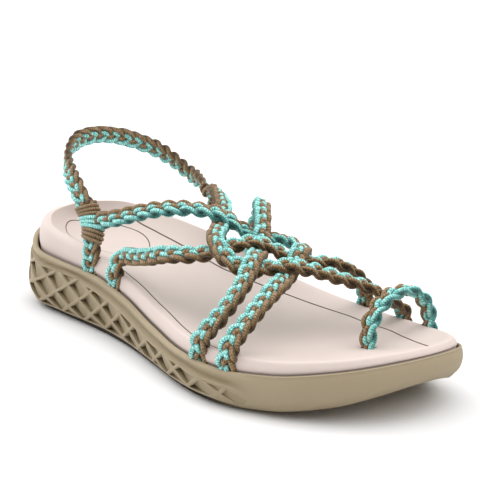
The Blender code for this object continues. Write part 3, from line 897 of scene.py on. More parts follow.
@dataclass
class EdgeHeights:
    """Heights of the sole's levels at points of its edge, with what shapes its side there."""

    ground: np.ndarray
    rim: np.ndarray
    bed: np.ndarray
    ridge: np.ndarray
    floor: np.ndarray
    tuck: np.ndarray
    flare: np.ndarray
    plain: np.ndarray
    band_flare_loss: float = 0.3

    def rim_flare(self, high: np.ndarray) -> np.ndarray:
        """Return how far the heel's flare moves the band out, at a share of the band's height."""
        return self.flare * HEEL_SWELL[-1].bulge * (1 - self.band_flare_loss * high)

    def bulge(self, height: np.ndarray) -> np.ndarray:
        """Return how far the side wall stands out from the edge at a height.

        Args:
            height: heights over the floor, one for each point.

        Returns:
            The wall's bulge at each point.
        """
        low = np.clip((height - self.ground) / (self.ridge - self.ground), 0, 1)
        high = np.clip((height - self.ridge) / (self.rim - self.ridge), 0, 1)
        share = np.clip((height - self.ground) / (self.rim - self.ground), 0, 1)
        wall = read_table(LATTICE_WALL, "bulge", low) + self.flare * read_table(HEEL_SWELL, "bulge", low)
        band = read_table(RIM_PROFILE, "bulge", high) + self.rim_flare(high)
        ribbed = np.where(height <= self.ridge, wall, band)
        smooth = read_table(TOE_WALL, "bulge", share)
        return ribbed + (smooth - ribbed) * self.plain - self.tuck * (1 - low) ** 2


@dataclass
class SoleForm:
    """The sole's outline from above and its heights, as the solids have them."""

    gap: float = 0.35
    rim_band: float = 6.0
    rim_follows_arch: float = 0.5
    tray_share: float = 0.5
    toe_tuck: float = 2.5
    toe_tuck_start: float = 84.0
    toe_tuck_run: float = 44.0
    heel_tuck: float = 1.0
    heel_tuck_start: float = -104.0
    heel_tuck_run: float = 24.0
    heel_flare: float = 2.6
    heel_flare_start: float = -40.0
    heel_flare_run: float = 60.0
    heel_flare_power: float = 0.8
    waist_lift: float = 2.5
    waist_along: float = -18.0
    waist_reach: float = 44.0
    plain_start: float = 58.0
    plain_run: float = 32.0
    round_start: float = -30.0
    round_run: float = 60.0
    halves: dict[Side, tuple[np.ndarray, np.ndarray]] = field(init=False)

    def __post_init__(self) -> None:
        """Work out both halves of the footbed's edge, each from heel tip to toe tip."""
        lateral = [(row.lateral, row.along, 0.0) for row in SOLE[1:-1]]
        medial = [(row.medial, row.along, 0.0) for row in SOLE[1:-1]]
        heel = (SOLE[0].lateral, SOLE[0].along, 0.0)
        toe = (SOLE[-1].lateral, SOLE[-1].along, 0.0)
        dense, _ = smooth_curve([heel, *lateral, toe, *medial[::-1]], closed=True)
        tangents = unit(np.roll(dense[:-1], -1, axis=0) - np.roll(dense[:-1], 1, axis=0))
        normals = np.column_stack((tangents[:, 1], -tangents[:, 0]))
        ring = np.hstack((dense[:, :2], np.vstack((normals, normals[:1]))))
        tip = (len(lateral) + 1) * CURVE_STEPS
        self.halves = {}
        for side, half in ((Side.LATERAL, ring[: tip + 1]), (Side.MEDIAL, ring[tip:][::-1])):
            steps = np.linalg.norm(np.diff(half[:, :2], axis=0), axis=1)
            self.halves[side] = (half, np.concatenate(([0.0], np.cumsum(steps))))

    def column(self, name: str, along: np.ndarray) -> np.ndarray:
        """Read a column of the sole's table at distances along the foot."""
        return read_table(SOLE, name, along)

    def half_length(self, side: Side) -> float:
        """Return the length of one half of the edge."""
        return float(self.halves[side][1][-1])

    def edge_at(self, run: np.ndarray) -> tuple[np.ndarray, np.ndarray]:
        """Read the edge at arc lengths from the heel tip.

        Args:
            run: arc lengths, positive on the lateral side and negative on the medial side.

        Returns:
            Points and outward normals, seen from above.
        """
        run = np.atleast_1d(np.asarray(run, dtype=float))
        lateral = read_curve(*self.halves[Side.LATERAL], run)
        medial = read_curve(*self.halves[Side.MEDIAL], -run)
        found = np.where((run >= 0)[:, None], lateral, medial)
        return found[:, :2], unit(found[:, 2:])

    def edge_run(self, along: float, side: Side) -> float:
        """Return the signed arc length at which a side of the edge reaches a distance along the foot."""
        points, lengths = self.halves[side]
        return side.value * float(np.interp(along, points[:, 1], lengths))

    def heights(self, points: np.ndarray, normals: np.ndarray) -> EdgeHeights:
        """Work out the levels of the sole at points of its edge.

        Args:
            points: points of the edge from above.
            normals: the edge's outward normals there.

        Returns:
            The heights of the levels.
        """
        along = points[:, 1]
        medial = (1 - normals[:, 0]) / 2
        waist = np.clip(1 - ((along - self.waist_along) / self.waist_reach) ** 2, 0, 1) ** 2
        arch = self.column("bed_medial", along) - self.column("bed_lateral", along)
        ground = self.column("ground", along) + self.waist_lift * waist * medial ** 2
        rim = self.column("rim", along) + self.rim_follows_arch * arch * medial
        toe = np.clip((along - self.toe_tuck_start) / self.toe_tuck_run, 0, 1)
        heel = np.clip((self.heel_tuck_start - along) / self.heel_tuck_run, 0, 1)
        flare = np.clip((self.heel_flare_start - along) / self.heel_flare_run, 0, 1)
        return EdgeHeights(
            ground=ground,
            rim=rim,
            bed=self.column("bed_lateral", along) + arch * medial,
            ridge=rim - self.rim_band,
            floor=ground + self.tray_share * (rim - ground),
            tuck=self.toe_tuck * toe ** 2 + self.heel_tuck * heel ** 2,
            flare=self.heel_flare * flare ** self.heel_flare_power,
            plain=soft_step((along - self.plain_start) / self.plain_run),
        )

    def bed_bulge(self, level: BedLevel, along: np.ndarray) -> np.ndarray:
        """Return how far the footbed's wall stands out at one of its levels, rounder towards the heel."""
        rounder = soft_step((self.round_start - along) / self.round_run)
        return level.front + (level.heel - level.front) * rounder

    def level(self, run: np.ndarray, bulge: np.ndarray, height: np.ndarray) -> np.ndarray:
        """Return points that stand out from the edge by a bulge, at a height."""
        points, normals = self.edge_at(run)
        return np.column_stack((points + normals * np.reshape(bulge, (-1, 1)), height))


@dataclass
class Outsole:
    """The moulded rubber unit: lattice wall, smooth band, rim, tray and treaded underside.

    Its side is first made flat, with x along the edge from the heel tip, y as the height and z as the
    relief. Its rows of vertices are then numbered: the band's from FIRST_BAND up, and the underside's from
    FIRST_GROUND down.
    """

    FIRST_BAND: ClassVar[int] = 2
    FIRST_GROUND: ClassVar[int] = -1
    TRIM_TOLERANCE: ClassVar[float] = 1e-5
    TOUCHING: ClassVar[float] = 1e-3

    form: SoleForm
    pitch: float = 19.5
    row: float = 5.4
    rows: int = 6
    lattice_end: float = 86.0
    last_corner: float = 89.0
    fade_start: float = 50.0
    fade_least: float = 0.2
    lowest: float = 3.1
    least_top: float = 4.3
    rib: float = 0.95
    shoulder: float = 0.2
    shoulder_drop: float = 0.12
    wall_slope: float = 0.25
    depth_low: float = 0.15
    depth_high: float = 3.3
    slope_power: float = 1.5
    lower_corner: float = 0.35
    least_cell: float = 1.25
    longest_edge: float = 2.6
    edge_cuts: int = 3
    upper_share: float = 0.8
    crisp_height: float = 5.0
    # painted shade: full in a pocket at cavity_depth, never less than cavity_least on a pressed floor, and
    # hollow_shade in the band's hollow
    cavity_depth: float = 3.4
    cavity_least: float = 0.12
    hollow_shade: float = 0.2
    toe_overhang: float = 1.4
    toe_relief: float = 0.4
    # painted shadow in the gap under the sole's wall: the rows that carry it, and how dark it is
    gap_rows: int = 2
    gap_shade: float = 1.7
    groove_first: float = -105.0
    groove_step: float = 21.0
    groove_count: int = 11
    groove_width: float = 3.0
    groove_depth: float = 2.0
    tread_margin: float = 1.0
    sharp: float = 48.0
    flat_half: float = field(init=False)

    def __post_init__(self) -> None:
        """Fit a whole number of half pitches round each side."""
        mean = (self.form.half_length(Side.LATERAL) + self.form.half_length(Side.MEDIAL)) / 2
        self.flat_half = round(2 * mean / self.pitch) * self.pitch / 2

    def run_of(self, flat_x: np.ndarray) -> np.ndarray:
        """Turn flat places into arc lengths of the edge.

        Args:
            flat_x: places along the flat sheet, from the heel tip.

        Returns:
            Signed arc lengths of the footbed's edge.
        """
        lateral = self.form.half_length(Side.LATERAL) / self.flat_half
        medial = self.form.half_length(Side.MEDIAL) / self.flat_half
        return flat_x * np.where(flat_x >= 0, lateral, medial)

    def top_of(self, flat_x: np.ndarray) -> np.ndarray:
        """Return the height of the lattice's top line over the ground.

        Args:
            flat_x: places along the flat sheet, from the heel tip.

        Returns:
            The top line's height at each place.
        """
        points, normals = self.form.edge_at(self.run_of(flat_x))
        heights = self.form.heights(points, normals)
        drop = read_table(LATTICE_LINES, "drop", points[:, 1])
        return np.maximum(heights.ridge - heights.ground - drop, self.least_top)

    def build(self) -> bpy.types.Object:
        """Make the outsole's object.

        Returns:
            The object, without its finish.
        """
        bm = self._flat_diamonds()
        self._press_pockets(bm)
        self._add_rows(bm)
        self._wrap(bm)
        self._close(bm)
        return make_object("sole", bm, self.sharp)

    def dress(self, sole: bpy.types.Object, shading: SharedShading) -> None:
        """Give the outsole its rubber."""
        sole.data.materials.append(SOLE_FINISH.material(shading))

    def _shift_rows(self, bm: BMesh, sign: int) -> None:
        """Slide all vertices up or down by the lattice's top line.

        Args:
            bm: the flat sheet.
            sign: 1 to slide up and -1 to slide down.
        """
        flat_x = np.array([vert.co.x for vert in bm.verts])
        for vert, top in zip(bm.verts, self.top_of(flat_x)):
            vert.co.y += sign * top

    def _flat_diamonds(self) -> BMesh:
        """Make a flat sheet of diamonds, cut to the edge's length and to the lattice's top line.

        Returns:
            The flat sheet, with a face for each diamond.
        """
        bm = bmesh.new()
        count = 2 * (round(self.flat_half / self.pitch) + self.rows)
        bmesh.ops.create_grid(bm, x_segments=count, y_segments=count, size=count / 2)
        turn = Matrix((
            (self.pitch / 2, -self.pitch / 2, 0.0, 0.0),
            (self.row, self.row, 0.0, 0.0),
            (0.0, 0.0, 1.0, 0.0),
            (0.0, 0.0, 0.0, 1.0),
        ))
        bmesh.ops.transform(bm, matrix=turn, verts=bm.verts)
        self._trim(bm, (self.flat_half, 0, 0), (1, 0, 0))
        self._trim(bm, (-self.flat_half, 0, 0), (-1, 0, 0))
        points, _ = self.form.edge_at(self.run_of(np.array([vert.co.x for vert in bm.verts])))
        for vert, base in zip(bm.verts, read_table(LATTICE_LINES, "base", points[:, 1])):
            vert.co.y += base
        self._trim(bm, (0, self.lowest, 0), (0, -1, 0))
        self._shift_rows(bm, -1)
        self._trim(bm, (0, 0, 0), (0, 1, 0))
        self._shift_rows(bm, 1)
        return bm

    @staticmethod
    def _trim(bm: BMesh, place: Sequence[float], away: Sequence[float]) -> None:
        """Cut off what lies past a plane.

        Args:
            bm: the flat sheet.
            place: a point of the plane.
            away: the direction in which the sheet is cut off.
        """
        geometry = [*bm.verts, *bm.edges, *bm.faces]
        bmesh.ops.bisect_plane(bm, geom=geometry, dist=Outsole.TRIM_TOLERANCE, plane_co=place,
                               plane_no=away, clear_outer=True)

    def _pocket_cells(self, bm: BMesh) -> list[BMFace]:
        """Return the cells that hold a pocket: large enough, and behind the toe.

        Args:
            bm: the flat sheet.

        Returns:
            The faces to press.
        """
        cells = []
        for face in bm.faces:
            points, _ = self.form.edge_at(self.run_of(np.array([vert.co.x for vert in face.verts])))
            inner_radius = 2 * face.calc_area() / face.calc_perimeter()
            if inner_radius > self.least_cell and points[:, 1].max() < self.last_corner:
                cells.append(face)
        return cells

    def _press_pockets(self, bm: BMesh) -> None:
        """Press a pocket into each diamond, deepest at its lower edge to the heel, and leave the ribs.

        Args:
            bm: the flat sheet.
        """
        cells = self._pocket_cells(bm)
        insets = ((self.rib / 2, 0.0), (self.shoulder, -self.shoulder_drop), (self.wall_slope, 0.0))
        for thickness, depth in insets:
            bmesh.ops.inset_individual(bm, faces=cells, thickness=thickness, depth=depth,
                                       use_even_offset=True)
        for cell in cells:
            places = np.array([vert.co for vert in cell.verts])
            points, _ = self.form.edge_at(self.run_of(places[:, 0]))
            rise = places[:, 1] - read_table(LATTICE_LINES, "base", points[:, 1])
            ahead = np.abs(places[:, 0]) / self.pitch
            up = rise / (2 * self.row)
            share = self._cell_share(ahead + up)
            corner = self.lower_corner + (1 - self.lower_corner) * self._cell_share(up - ahead)
            fade = (self.lattice_end - points[:, 1]) / (self.lattice_end - self.fade_start)
            slope = (self.depth_high - self.depth_low) * corner * (1 - share) ** self.slope_power
            depth = self.depth_low + slope
            for vert, drop in zip(cell.verts, depth * np.clip(fade, self.fade_least, 1)):
                vert.co.z = -drop
        split_large(bm)
        long_edges = [edge for edge in bm.edges if edge.calc_length() > self.longest_edge]
        bmesh.ops.subdivide_edges(bm, edges=long_edges, cuts=self.edge_cuts, use_grid_fill=True)
        split_large(bm)

    @staticmethod
    def _cell_share(count: np.ndarray) -> np.ndarray:
        """Return the places of a cell's corners between two ribs, from 0 to 1, by their count of ribs."""
        return np.clip(count - np.floor(count.mean()), 0, 1)

    def _add_rows(self, bm: BMesh) -> None:
        """Extrude the sheet up over the rim into the tray and down under the sole, as numbered rows.

        A vertex of the lattice then has its share of the top line's height as its y, from 0 to 1.

        Args:
            bm: the flat sheet.
        """
        flat_x = np.array([vert.co.x for vert in bm.verts])
        for vert, top in zip(bm.verts, self.top_of(flat_x)):
            vert.co.y /= top
        ends = self.flat_half - self.TOUCHING
        sides = [edge for edge in boundary(bm) if any(abs(vert.co.x) < ends for vert in edge.verts)]
        upper = [edge for edge in sides if all(vert.co.y > self.upper_share for vert in edge.verts)]
        lower = [edge for edge in sides if all(vert.co.y <= self.upper_share for vert in edge.verts)]
        for edge in upper:
            for vert in edge.verts:
                vert.co.y = 1.0
        for edges, first, step, count in (
            (upper, self.FIRST_BAND, 1, len(BAND_ROWS) + len(LIP_ROWS) + 1),
            (lower, self.FIRST_GROUND, -1, len(GROUND_ROWS)),
        ):
            for index in range(count):
                made = bmesh.ops.extrude_edge_only(bm, edges=edges)["geom"]
                edges = kept(made, BMEdge)
                for vert in kept(made, BMVert):
                    vert.co.y = first + step * index

    def _wrap(self, bm: BMesh) -> None:
        """Wrap the flat sheet round the sole.

        Args:
            bm: the flat sheet, with its numbered rows.
        """
        flat = np.array([vert.co for vert in bm.verts])
        run = self.run_of(flat[:, 0])
        points, normals = self.form.edge_at(run)
        heights = self.form.heights(points, normals)
        top = heights.ground + self.top_of(flat[:, 0])
        crisp = np.clip((top - heights.ground - self.least_top) / self.crisp_height, 0, 1)
        row = np.rint(flat[:, 1]).astype(int)
        start = self.lowest / (top - heights.ground)
        share = flat[:, 1] - heights.plain * (1 - flat[:, 1]) * start / (1 - start)
        height = heights.ground + share * (top - heights.ground)
        bulge = heights.bulge(height) + flat[:, 2]
        # painted shade in the pressed pockets, darker the deeper the pocket
        pocket_shade = np.clip(self.cavity_least - flat[:, 2] / self.cavity_depth, 0, 1)
        shade = np.where(flat[:, 2] < -self.shoulder_drop - self.TOUCHING, pocket_shade, 0.0)
        for index, band in enumerate(BAND_ROWS):
            here = row == self.FIRST_BAND + index
            # painted shade in the band's hollow, where its rows stand in
            shade = np.where(here, self.hollow_shade * np.clip(-band.proud, 0, 1) * crisp, shade)
            level = top + band.share * (heights.rim - top)
            height = np.where(here, level, height)
            bulge = np.where(here, heights.bulge(level) + band.proud * crisp, bulge)
        for index, lip in enumerate(LIP_ROWS):
            here = row == self.FIRST_BAND + len(BAND_ROWS) + index
            # painted shade in the crease between the rim's lip and the footbed
            shade = np.where(here, lip.shade, shade)
            height = np.where(here, heights.rim - lip.drop, height)
            bulge = np.where(here, lip.bulge + heights.rim_flare(1.0) * min(lip.bulge, 1.0), bulge)
        inside = row == self.FIRST_BAND + len(BAND_ROWS) + len(LIP_ROWS)
        height = np.where(inside, heights.floor, height)
        bulge = np.where(inside, 0.0, bulge)
        for index, ground in enumerate(GROUND_ROWS):
            here = row == self.FIRST_GROUND - index
            height = np.where(here, heights.ground + ground.lift * (1 - heights.plain), height)
            # painted shadow on the riser under the sole's wall, as a dark contact line
            if index < self.gap_rows:
                shade = np.where(here, self.gap_shade * (1 - heights.plain), shade)
            inset = ground.bulge * (1 - self.toe_relief * heights.plain)
            bulge = np.where(here, inset - heights.tuck - self.toe_overhang * heights.plain, bulge)
        placed = to_frame(np.column_stack((points + normals * bulge[:, None], height)))
        painted_shade = bm.verts.layers.float.new(PAINTED_SHADE)
        for vert, place, dark in zip(bm.verts, placed, shade):
            vert.co = place
            vert[painted_shade] = dark
        bmesh.ops.remove_doubles(bm, verts=bm.verts, dist=WELD_DISTANCE)

    def _close(self, bm: BMesh) -> None:
        """Fill the tray's floor and the underside, and press the tread grooves up into it.

        Args:
            bm: the wrapped side of the sole.
        """
        tread = []
        for loop in self._loops(boundary(bm)):
            filled = bmesh.ops.triangle_fill(bm, use_beauty=True, edges=loop)["geom"]
            faces = kept(filled, BMFace)
            if max(vert.co.z for face in faces for vert in face.verts) < self._tread_top():
                tread = faces
        for face in bm.faces:
            face.material_index = 0
        for face in tread:
            face.material_index = 1
        for index in range(self.groove_count):
            along = self.groove_first + index * self.groove_step
            bounds = [to_frame((0, along + sign * self.groove_width / 2, 0)) for sign in (-1, 1)]
            for bound in bounds:
                faces = [face for face in bm.faces if face.material_index == 1]
                edges = {edge for face in faces for edge in face.edges}
                verts = {vert for face in faces for vert in face.verts}
                geometry = [*verts, *edges, *faces]
                bmesh.ops.bisect_plane(bm, geom=geometry, dist=CUT_TOLERANCE, plane_co=bound,
                                       plane_no=(0, 1, 0))
            low, high = bounds[0][1], bounds[1][1]
            faces = [face for face in bm.faces
                     if face.material_index == 1 and low < face.calc_center_median().y < high]
            if faces:
                made = bmesh.ops.extrude_face_region(bm, geom=faces)["geom"]
                lift = Vector((0, 0, self.groove_depth * MM))
                bmesh.ops.translate(bm, verts=kept(made, BMVert), vec=lift)
                bmesh.ops.delete(bm, geom=[face for face in faces if face.is_valid], context="FACES")
                for face in kept(made, BMFace):
                    face.material_index = 0
        for face in bm.faces:
            face.material_index = 0
        bmesh.ops.recalc_face_normals(bm, faces=bm.faces)

    def _tread_top(self) -> float:
        """Return a height that all of the underside's rim is under, and the tray's floor isn't."""
        return to_frame((0, 0, SOLE[-1].ground + self.tread_margin))[2]

    @staticmethod
    def _loops(edges: list[BMEdge]) -> list[list[BMEdge]]:
        """Sort boundary edges into their closed loops.

        Args:
            edges: the edges of all the loops.

        Returns:
            The edges of each loop.
        """
        left = set(edges)
        loops = []
        while left:
            stack = [left.pop()]
            loop = []
            while stack:
                edge = stack.pop()
                loop.append(edge)
                linked = {other for vert in edge.verts for other in vert.link_edges if other in left}
                left -= linked
                stack += linked
            loops.append(loop)
        return loops


@dataclass
class Footbed:
    """The cushioned insole, dished, with moulded lines and slots for the straps."""

    form: SoleForm
    anchors: Sequence[Anchor]
    across: int = 30
    along: int = 130
    dish_power: float = 2.6
    line_radius: float = 0.42
    oval_radius: float = 0.32
    line_sink: float = 0.12
    line_sides: int = 8
    line_step: float = 2.0
    oval_start: float = 215.0
    oval_gap: float = 0.6
    slot_inset: float = 1.0
    slot_deep: float = 2.4
    slot_width: float = 6.4
    slot_proud: float = 2.5
    slot_middle: float = 30.0
    slot_tall: float = 60.0
    toe_slot_width: float = 5.6
    sharp: float = 38.0

    def build(self, shading: SharedShading) -> bpy.types.Object:
        """Make the footbed's object with its moulded lines and slots, and dress it.

        The cuts carry the finishes, so it is dressed as it is cut.

        Args:
            shading: the node groups that the finishes share.

        Returns:
            The object.
        """
        bm = self._top()
        self._wall(bm)
        tree = BVHTree.FromBMesh(bm)
        footbed = make_object("footbed_top", bm, self.sharp)
        footbed.data.materials.append(BED_FINISH.material(shading))
        # the line cutters carry a dark finish, which paints shade into the grooves they cut
        lines = self._line_cutters(tree)
        dark = GROOVE_SHADE_FINISH.material(shading)
        for line in lines:
            line.data.materials.append(dark)
        slots = self._slot_cutter()
        slots.data.materials.append(footbed.data.materials[0])
        apply_cuts(footbed, [slots, *lines], self.sharp)
        return footbed

    def _top(self) -> BMesh:
        """Make the dished top from a grid whose rows run across the foot.

        Returns:
            The top, whose vertices keep the arc length of the edge beside them.
        """
        bm = bmesh.new()
        run_layer = bm.verts.layers.float.new("run")
        bmesh.ops.create_grid(bm, x_segments=self.across, y_segments=self.along, size=1.0)
        flat = np.array([vert.co for vert in bm.verts])
        share = (flat[:, 1] + 1) / 2
        across = (1 - flat[:, 0]) / 2
        edges = []
        runs = []
        for side in Side:
            run = side.value * share * self.form.half_length(side)
            points, normals = self.form.edge_at(np.where(run == 0, side.value * 1e-6, run))
            bed = self.form.heights(points, normals).bed
            edges.append(self.form.level(run, self.form.bed_bulge(BED_WALL[-1], points[:, 1]), bed))
            runs.append(run)
        places = edges[0] + (edges[1] - edges[0]) * across[:, None]
        seat = self.form.column("seat", places[:, 1])
        places[:, 2] = seat + (places[:, 2] - seat) * np.abs(2 * across - 1) ** self.dish_power
        for index, (vert, place) in enumerate(zip(bm.verts, to_frame(places))):
            vert.co = place
            vert[run_layer] = runs[0][index] if across[index] < 0.5 else runs[1][index]
        bmesh.ops.remove_doubles(bm, verts=bm.verts, dist=WELD_DISTANCE)
        return bm

    def _wall(self, bm: BMesh) -> None:
        """Extrude the top's edge out and down to the tray, and close the underside.

        Args:
            bm: the footbed's top.
        """
        run_layer = bm.verts.layers.float["run"]
        edges = boundary(bm)
        for level, below in [*((level, False) for level in BED_WALL[-2::-1]), (BED_WALL[0], True)]:
            made = bmesh.ops.extrude_edge_only(bm, edges=edges)["geom"]
            edges = kept(made, BMEdge)
            verts = kept(made, BMVert)
            run = np.array([vert[run_layer] for vert in verts])
            points, normals = self.form.edge_at(run)
            heights = self.form.heights(points, normals)
            height = heights.rim + level.share * (heights.bed - heights.rim)
            if below:
                height = heights.floor + self.form.gap
            bulge = self.form.bed_bulge(level, points[:, 1])
            for vert, place in zip(verts, to_frame(self.form.level(run, bulge, height))):
                vert.co = place
        bmesh.ops.triangle_fill(bm, use_beauty=True, edges=edges)
        bmesh.ops.recalc_face_normals(bm, faces=bm.faces)

    def _line_paths(self) -> list[tuple[np.ndarray, float]]:
        """Return the moulded lines from above, each as points a short step apart, with its radius.

        Returns:
            The points and the radius of each line.
        """
        paths = []
        for stops in (INNER_LINE, OUTER_LINE):
            along = np.arange(stops[0].along, stops[-1].along, self.line_step)
            paths.append((np.column_stack((read_table(stops, "across", along), along)), self.line_radius))
        start = radians(self.oval_start)
        steps = round(2 * pi * HEEL_OVAL.long / self.line_step)
        turns = np.linspace(start, start + radians(FULL_TURN - self.oval_gap), steps)
        across = HEEL_OVAL.across + HEEL_OVAL.wide * np.cos(turns)
        along = HEEL_OVAL.along + HEEL_OVAL.long * np.sin(turns)
        paths.append((np.column_stack((across, along)), self.oval_radius))
        return paths

    def _line_cutters(self, tree: BVHTree) -> list[bpy.types.Object]:
        """Make thin tubes that lie along the moulded lines, half sunk in the footbed's top.

        Args:
            tree: the uncut footbed, to find its top.

        Returns:
            One cutter for each line.
        """
        cutters = []
        for path, radius in self._line_paths():
            bundle = CordBundle(self.line_sides)
            spots = []
            for x, y in to_frame(np.column_stack((path, np.zeros(len(path)))))[:, :2]:
                hit = tree.ray_cast(Vector((x, y, 1.0)), Vector((0, 0, -1)))[0]
                spots.append(np.array(hit) / MM - TABLE_ZERO - (0, 0, self.line_sink))
            bundle.add(np.array(spots), radius)
            cutters.append(bundle.build("line_cutter"))
        return cutters

    def _slot_cutter(self) -> bpy.types.Object:
        """Make boxes where the straps go down at the edge, and one for the toe loop's inner end.

        Returns:
            One cutter with all the boxes.
        """
        bm = bmesh.new()
        for anchor in self.anchors:
            points, normals = self.form.edge_at(self.form.edge_run(anchor.along, anchor.side))
            inner = self.slot_inset + self.slot_deep
            middle = points[0] - normals[0] * (inner - self.slot_proud) / 2
            turn = Matrix.Rotation(float(np.arctan2(normals[0, 1], normals[0, 0])), 4, "Z")
            self._add_box(bm, (*middle, self.slot_middle), turn, (inner + self.slot_proud, self.slot_width))
        toe_slot = (TOE_LOOP_INNER, TOE_LOOP_ANCHOR.along, self.slot_middle)
        self._add_box(bm, toe_slot, Matrix(), (2 * self.slot_deep, self.toe_slot_width))
        return make_object("slot_cutter", bm, self.sharp)

    def _add_box(self, bm: BMesh, middle: Sequence[float], turn: Matrix, size: Sequence[float]) -> None:
        """Add a tall box to a cutter.

        Args:
            bm: the cutter's mesh.
            middle: the box's middle, in the tables' millimetres.
            turn: how the box is turned.
            size: its depth and width.
        """
        scale = Matrix.Diagonal((size[0] * MM, size[1] * MM, self.slot_tall * MM, 1.0))
        place = Matrix.Translation(Vector(to_frame(middle))) @ turn @ scale
        bmesh.ops.create_cube(bm, size=1.0, matrix=place)


# Straps

class CordBundle:
    """Round cords swept along their middle lines, in one mesh, with a map round and along each."""

    MAP = "cord_map"
    # painted shade at a cord's flanks: how narrow it is and how dark
    FLANK_POWER = 1.4
    FLANK_SHADE = 0.95
    UPRIGHT = 0.1

    def __init__(self, sides: int) -> None:
        """Start with no cords, each of which will have a number of sides.

        Args:
            sides: the sides of each cord.
        """
        self.sides = sides
        self.rings: list[np.ndarray] = []
        self.runs: list[np.ndarray] = []
        self.shades: list[np.ndarray] = []

    def add(self, middle: np.ndarray, radius: np.ndarray | float, outward: np.ndarray | None = None,
            sunk: np.ndarray | float = 0.0) -> None:
        """Add a cord.

        Args:
            middle: points of its middle line, in millimetres.
            radius: its radius, or its radius at each point.
            outward: the direction out of the strap at each point, for a cord with painted shade at its
                flanks, where it meets its neighbours.
            sunk: how far other cords cover it on that side, from -1 to 1, for painted shade where they
                cover it.
        """
        if outward is None:
            outward = np.zeros_like(middle)
        sunk = np.broadcast_to(sunk, len(middle))
        radius = np.broadcast_to(radius, len(middle))
        tangents = unit(np.gradient(middle, axis=0))
        across = np.cross(tangents[0], (0.0, 0.0, 1.0))
        if np.linalg.norm(across) < self.UPRIGHT:
            across = np.cross(tangents[0], (1.0, 0.0, 0.0))
        turns = 2 * pi * np.arange(self.sides) / self.sides
        rings = []
        shades = []
        for centre, tangent, size, face, cover in zip(middle, tangents, radius, outward, sunk):
            across = unit(across - tangent * np.dot(across, tangent))
            beside = np.cross(tangent, across)
            spokes = np.outer(np.cos(turns), across) + np.outer(np.sin(turns), beside)
            rings.append(centre + size * spokes)
            # painted shade at each cord's flanks and where other cords cover it
            height = spokes @ face
            flank = (1 - np.abs(height)) ** self.FLANK_POWER * np.linalg.norm(face)
            shades.append(np.clip(self.FLANK_SHADE * flank + np.clip(height * cover, 0, 1), 0, 1))
        steps = np.linalg.norm(np.diff(middle, axis=0), axis=1)
        self.rings.append(to_frame(np.array(rings)))
        self.shades.append(np.array(shades))
        self.runs.append(np.concatenate(([0.0], np.cumsum(steps))))

    def build(self, name: str) -> bpy.types.Object:
        """Sweep a circle along every cord at once, ring by ring, and make the object.

        Args:
            name: the object's name.

        Returns:
            The object, with a map and a painted shade on every cord.
        """
        bm = bmesh.new()
        cord_layer = bm.verts.layers.int.new("cord")
        spot_layer = bm.verts.layers.int.new("spot")
        ring_layer = bm.verts.layers.int.new("ring")
        shade_layer = bm.verts.layers.float.new(PAINTED_SHADE)
        for cord, rings in enumerate(self.rings):
            circle = bmesh.ops.create_circle(bm, segments=self.sides, radius=1.0)["verts"]
            for spot, vert in enumerate(circle):
                vert[cord_layer] = cord
                vert[spot_layer] = spot
                vert.co = rings[0, spot]
                vert[shade_layer] = self.shades[cord][0, spot]
        edges = bm.edges[:]
        for ring in range(1, max(len(rings) for rings in self.rings)):
            edges = [edge for edge in edges if len(self.rings[edge.verts[0][cord_layer]]) > ring]
            made = bmesh.ops.extrude_edge_only(bm, edges=edges)["geom"]
            edges = kept(made, BMEdge)
            for vert in kept(made, BMVert):
                vert[ring_layer] = ring
                vert.co = self.rings[vert[cord_layer]][ring, vert[spot_layer]]
                vert[shade_layer] = self.shades[vert[cord_layer]][ring, vert[spot_layer]]
        bmesh.ops.holes_fill(bm, edges=boundary(bm), sides=0)
        bmesh.ops.recalc_face_normals(bm, faces=bm.faces)
        uv_layer = bm.loops.layers.uv.new(self.MAP)
        for face in bm.faces:
            spots = [vert[spot_layer] for vert in face.verts]
            seam = max(spots) - min(spots) > self.sides / 2
            for loop in face.loops:
                vert = loop.vert
                spot = vert[spot_layer]
                turn = (self.sides if seam and spot == 0 else spot) / self.sides
                loop[uv_layer].uv = (turn, self.runs[vert[cord_layer]][vert[ring_layer]])
        return make_object(name, bm, ALL_SMOOTH)


class Frames(NamedTuple):
    """Places along a route, with the directions along it, across it and out from the foot."""

    centre: np.ndarray
    along: np.ndarray
    across: np.ndarray
    outward: np.ndarray


class Route:
    """A strap's smooth course, from rows of point and outward direction."""

    LOOK = 1.0

    def __init__(self, rows: Sequence[np.ndarray]) -> None:
        """Run a smooth curve through the rows."""
        self.dense, self.lengths = smooth_curve(rows, closed=False)

    @property
    def length(self) -> float:
        """The route's length."""
        return float(self.lengths[-1])

    def place_of(self, point: np.ndarray) -> float:
        """Return the arc length at which the route passes nearest to a point."""
        return float(self.lengths[np.argmin(np.linalg.norm(self.dense[:, :3] - point, axis=1))])

    def frames(self, places: np.ndarray) -> Frames:
        """Read the route's places and directions at arc lengths.

        Args:
            places: arc lengths from the route's start.

        Returns:
            The frames there.
        """
        here = read_curve(self.dense, self.lengths, places)
        ahead = read_curve(self.dense, self.lengths, np.clip(places + self.LOOK, 0, self.length))
        behind = read_curve(self.dense, self.lengths, np.clip(places - self.LOOK, 0, self.length))
        along = unit(ahead[:, :3] - behind[:, :3])
        across = unit(np.cross(along, here[:, 3:]))
        return Frames(here[:, :3], along, across, np.cross(across, along))


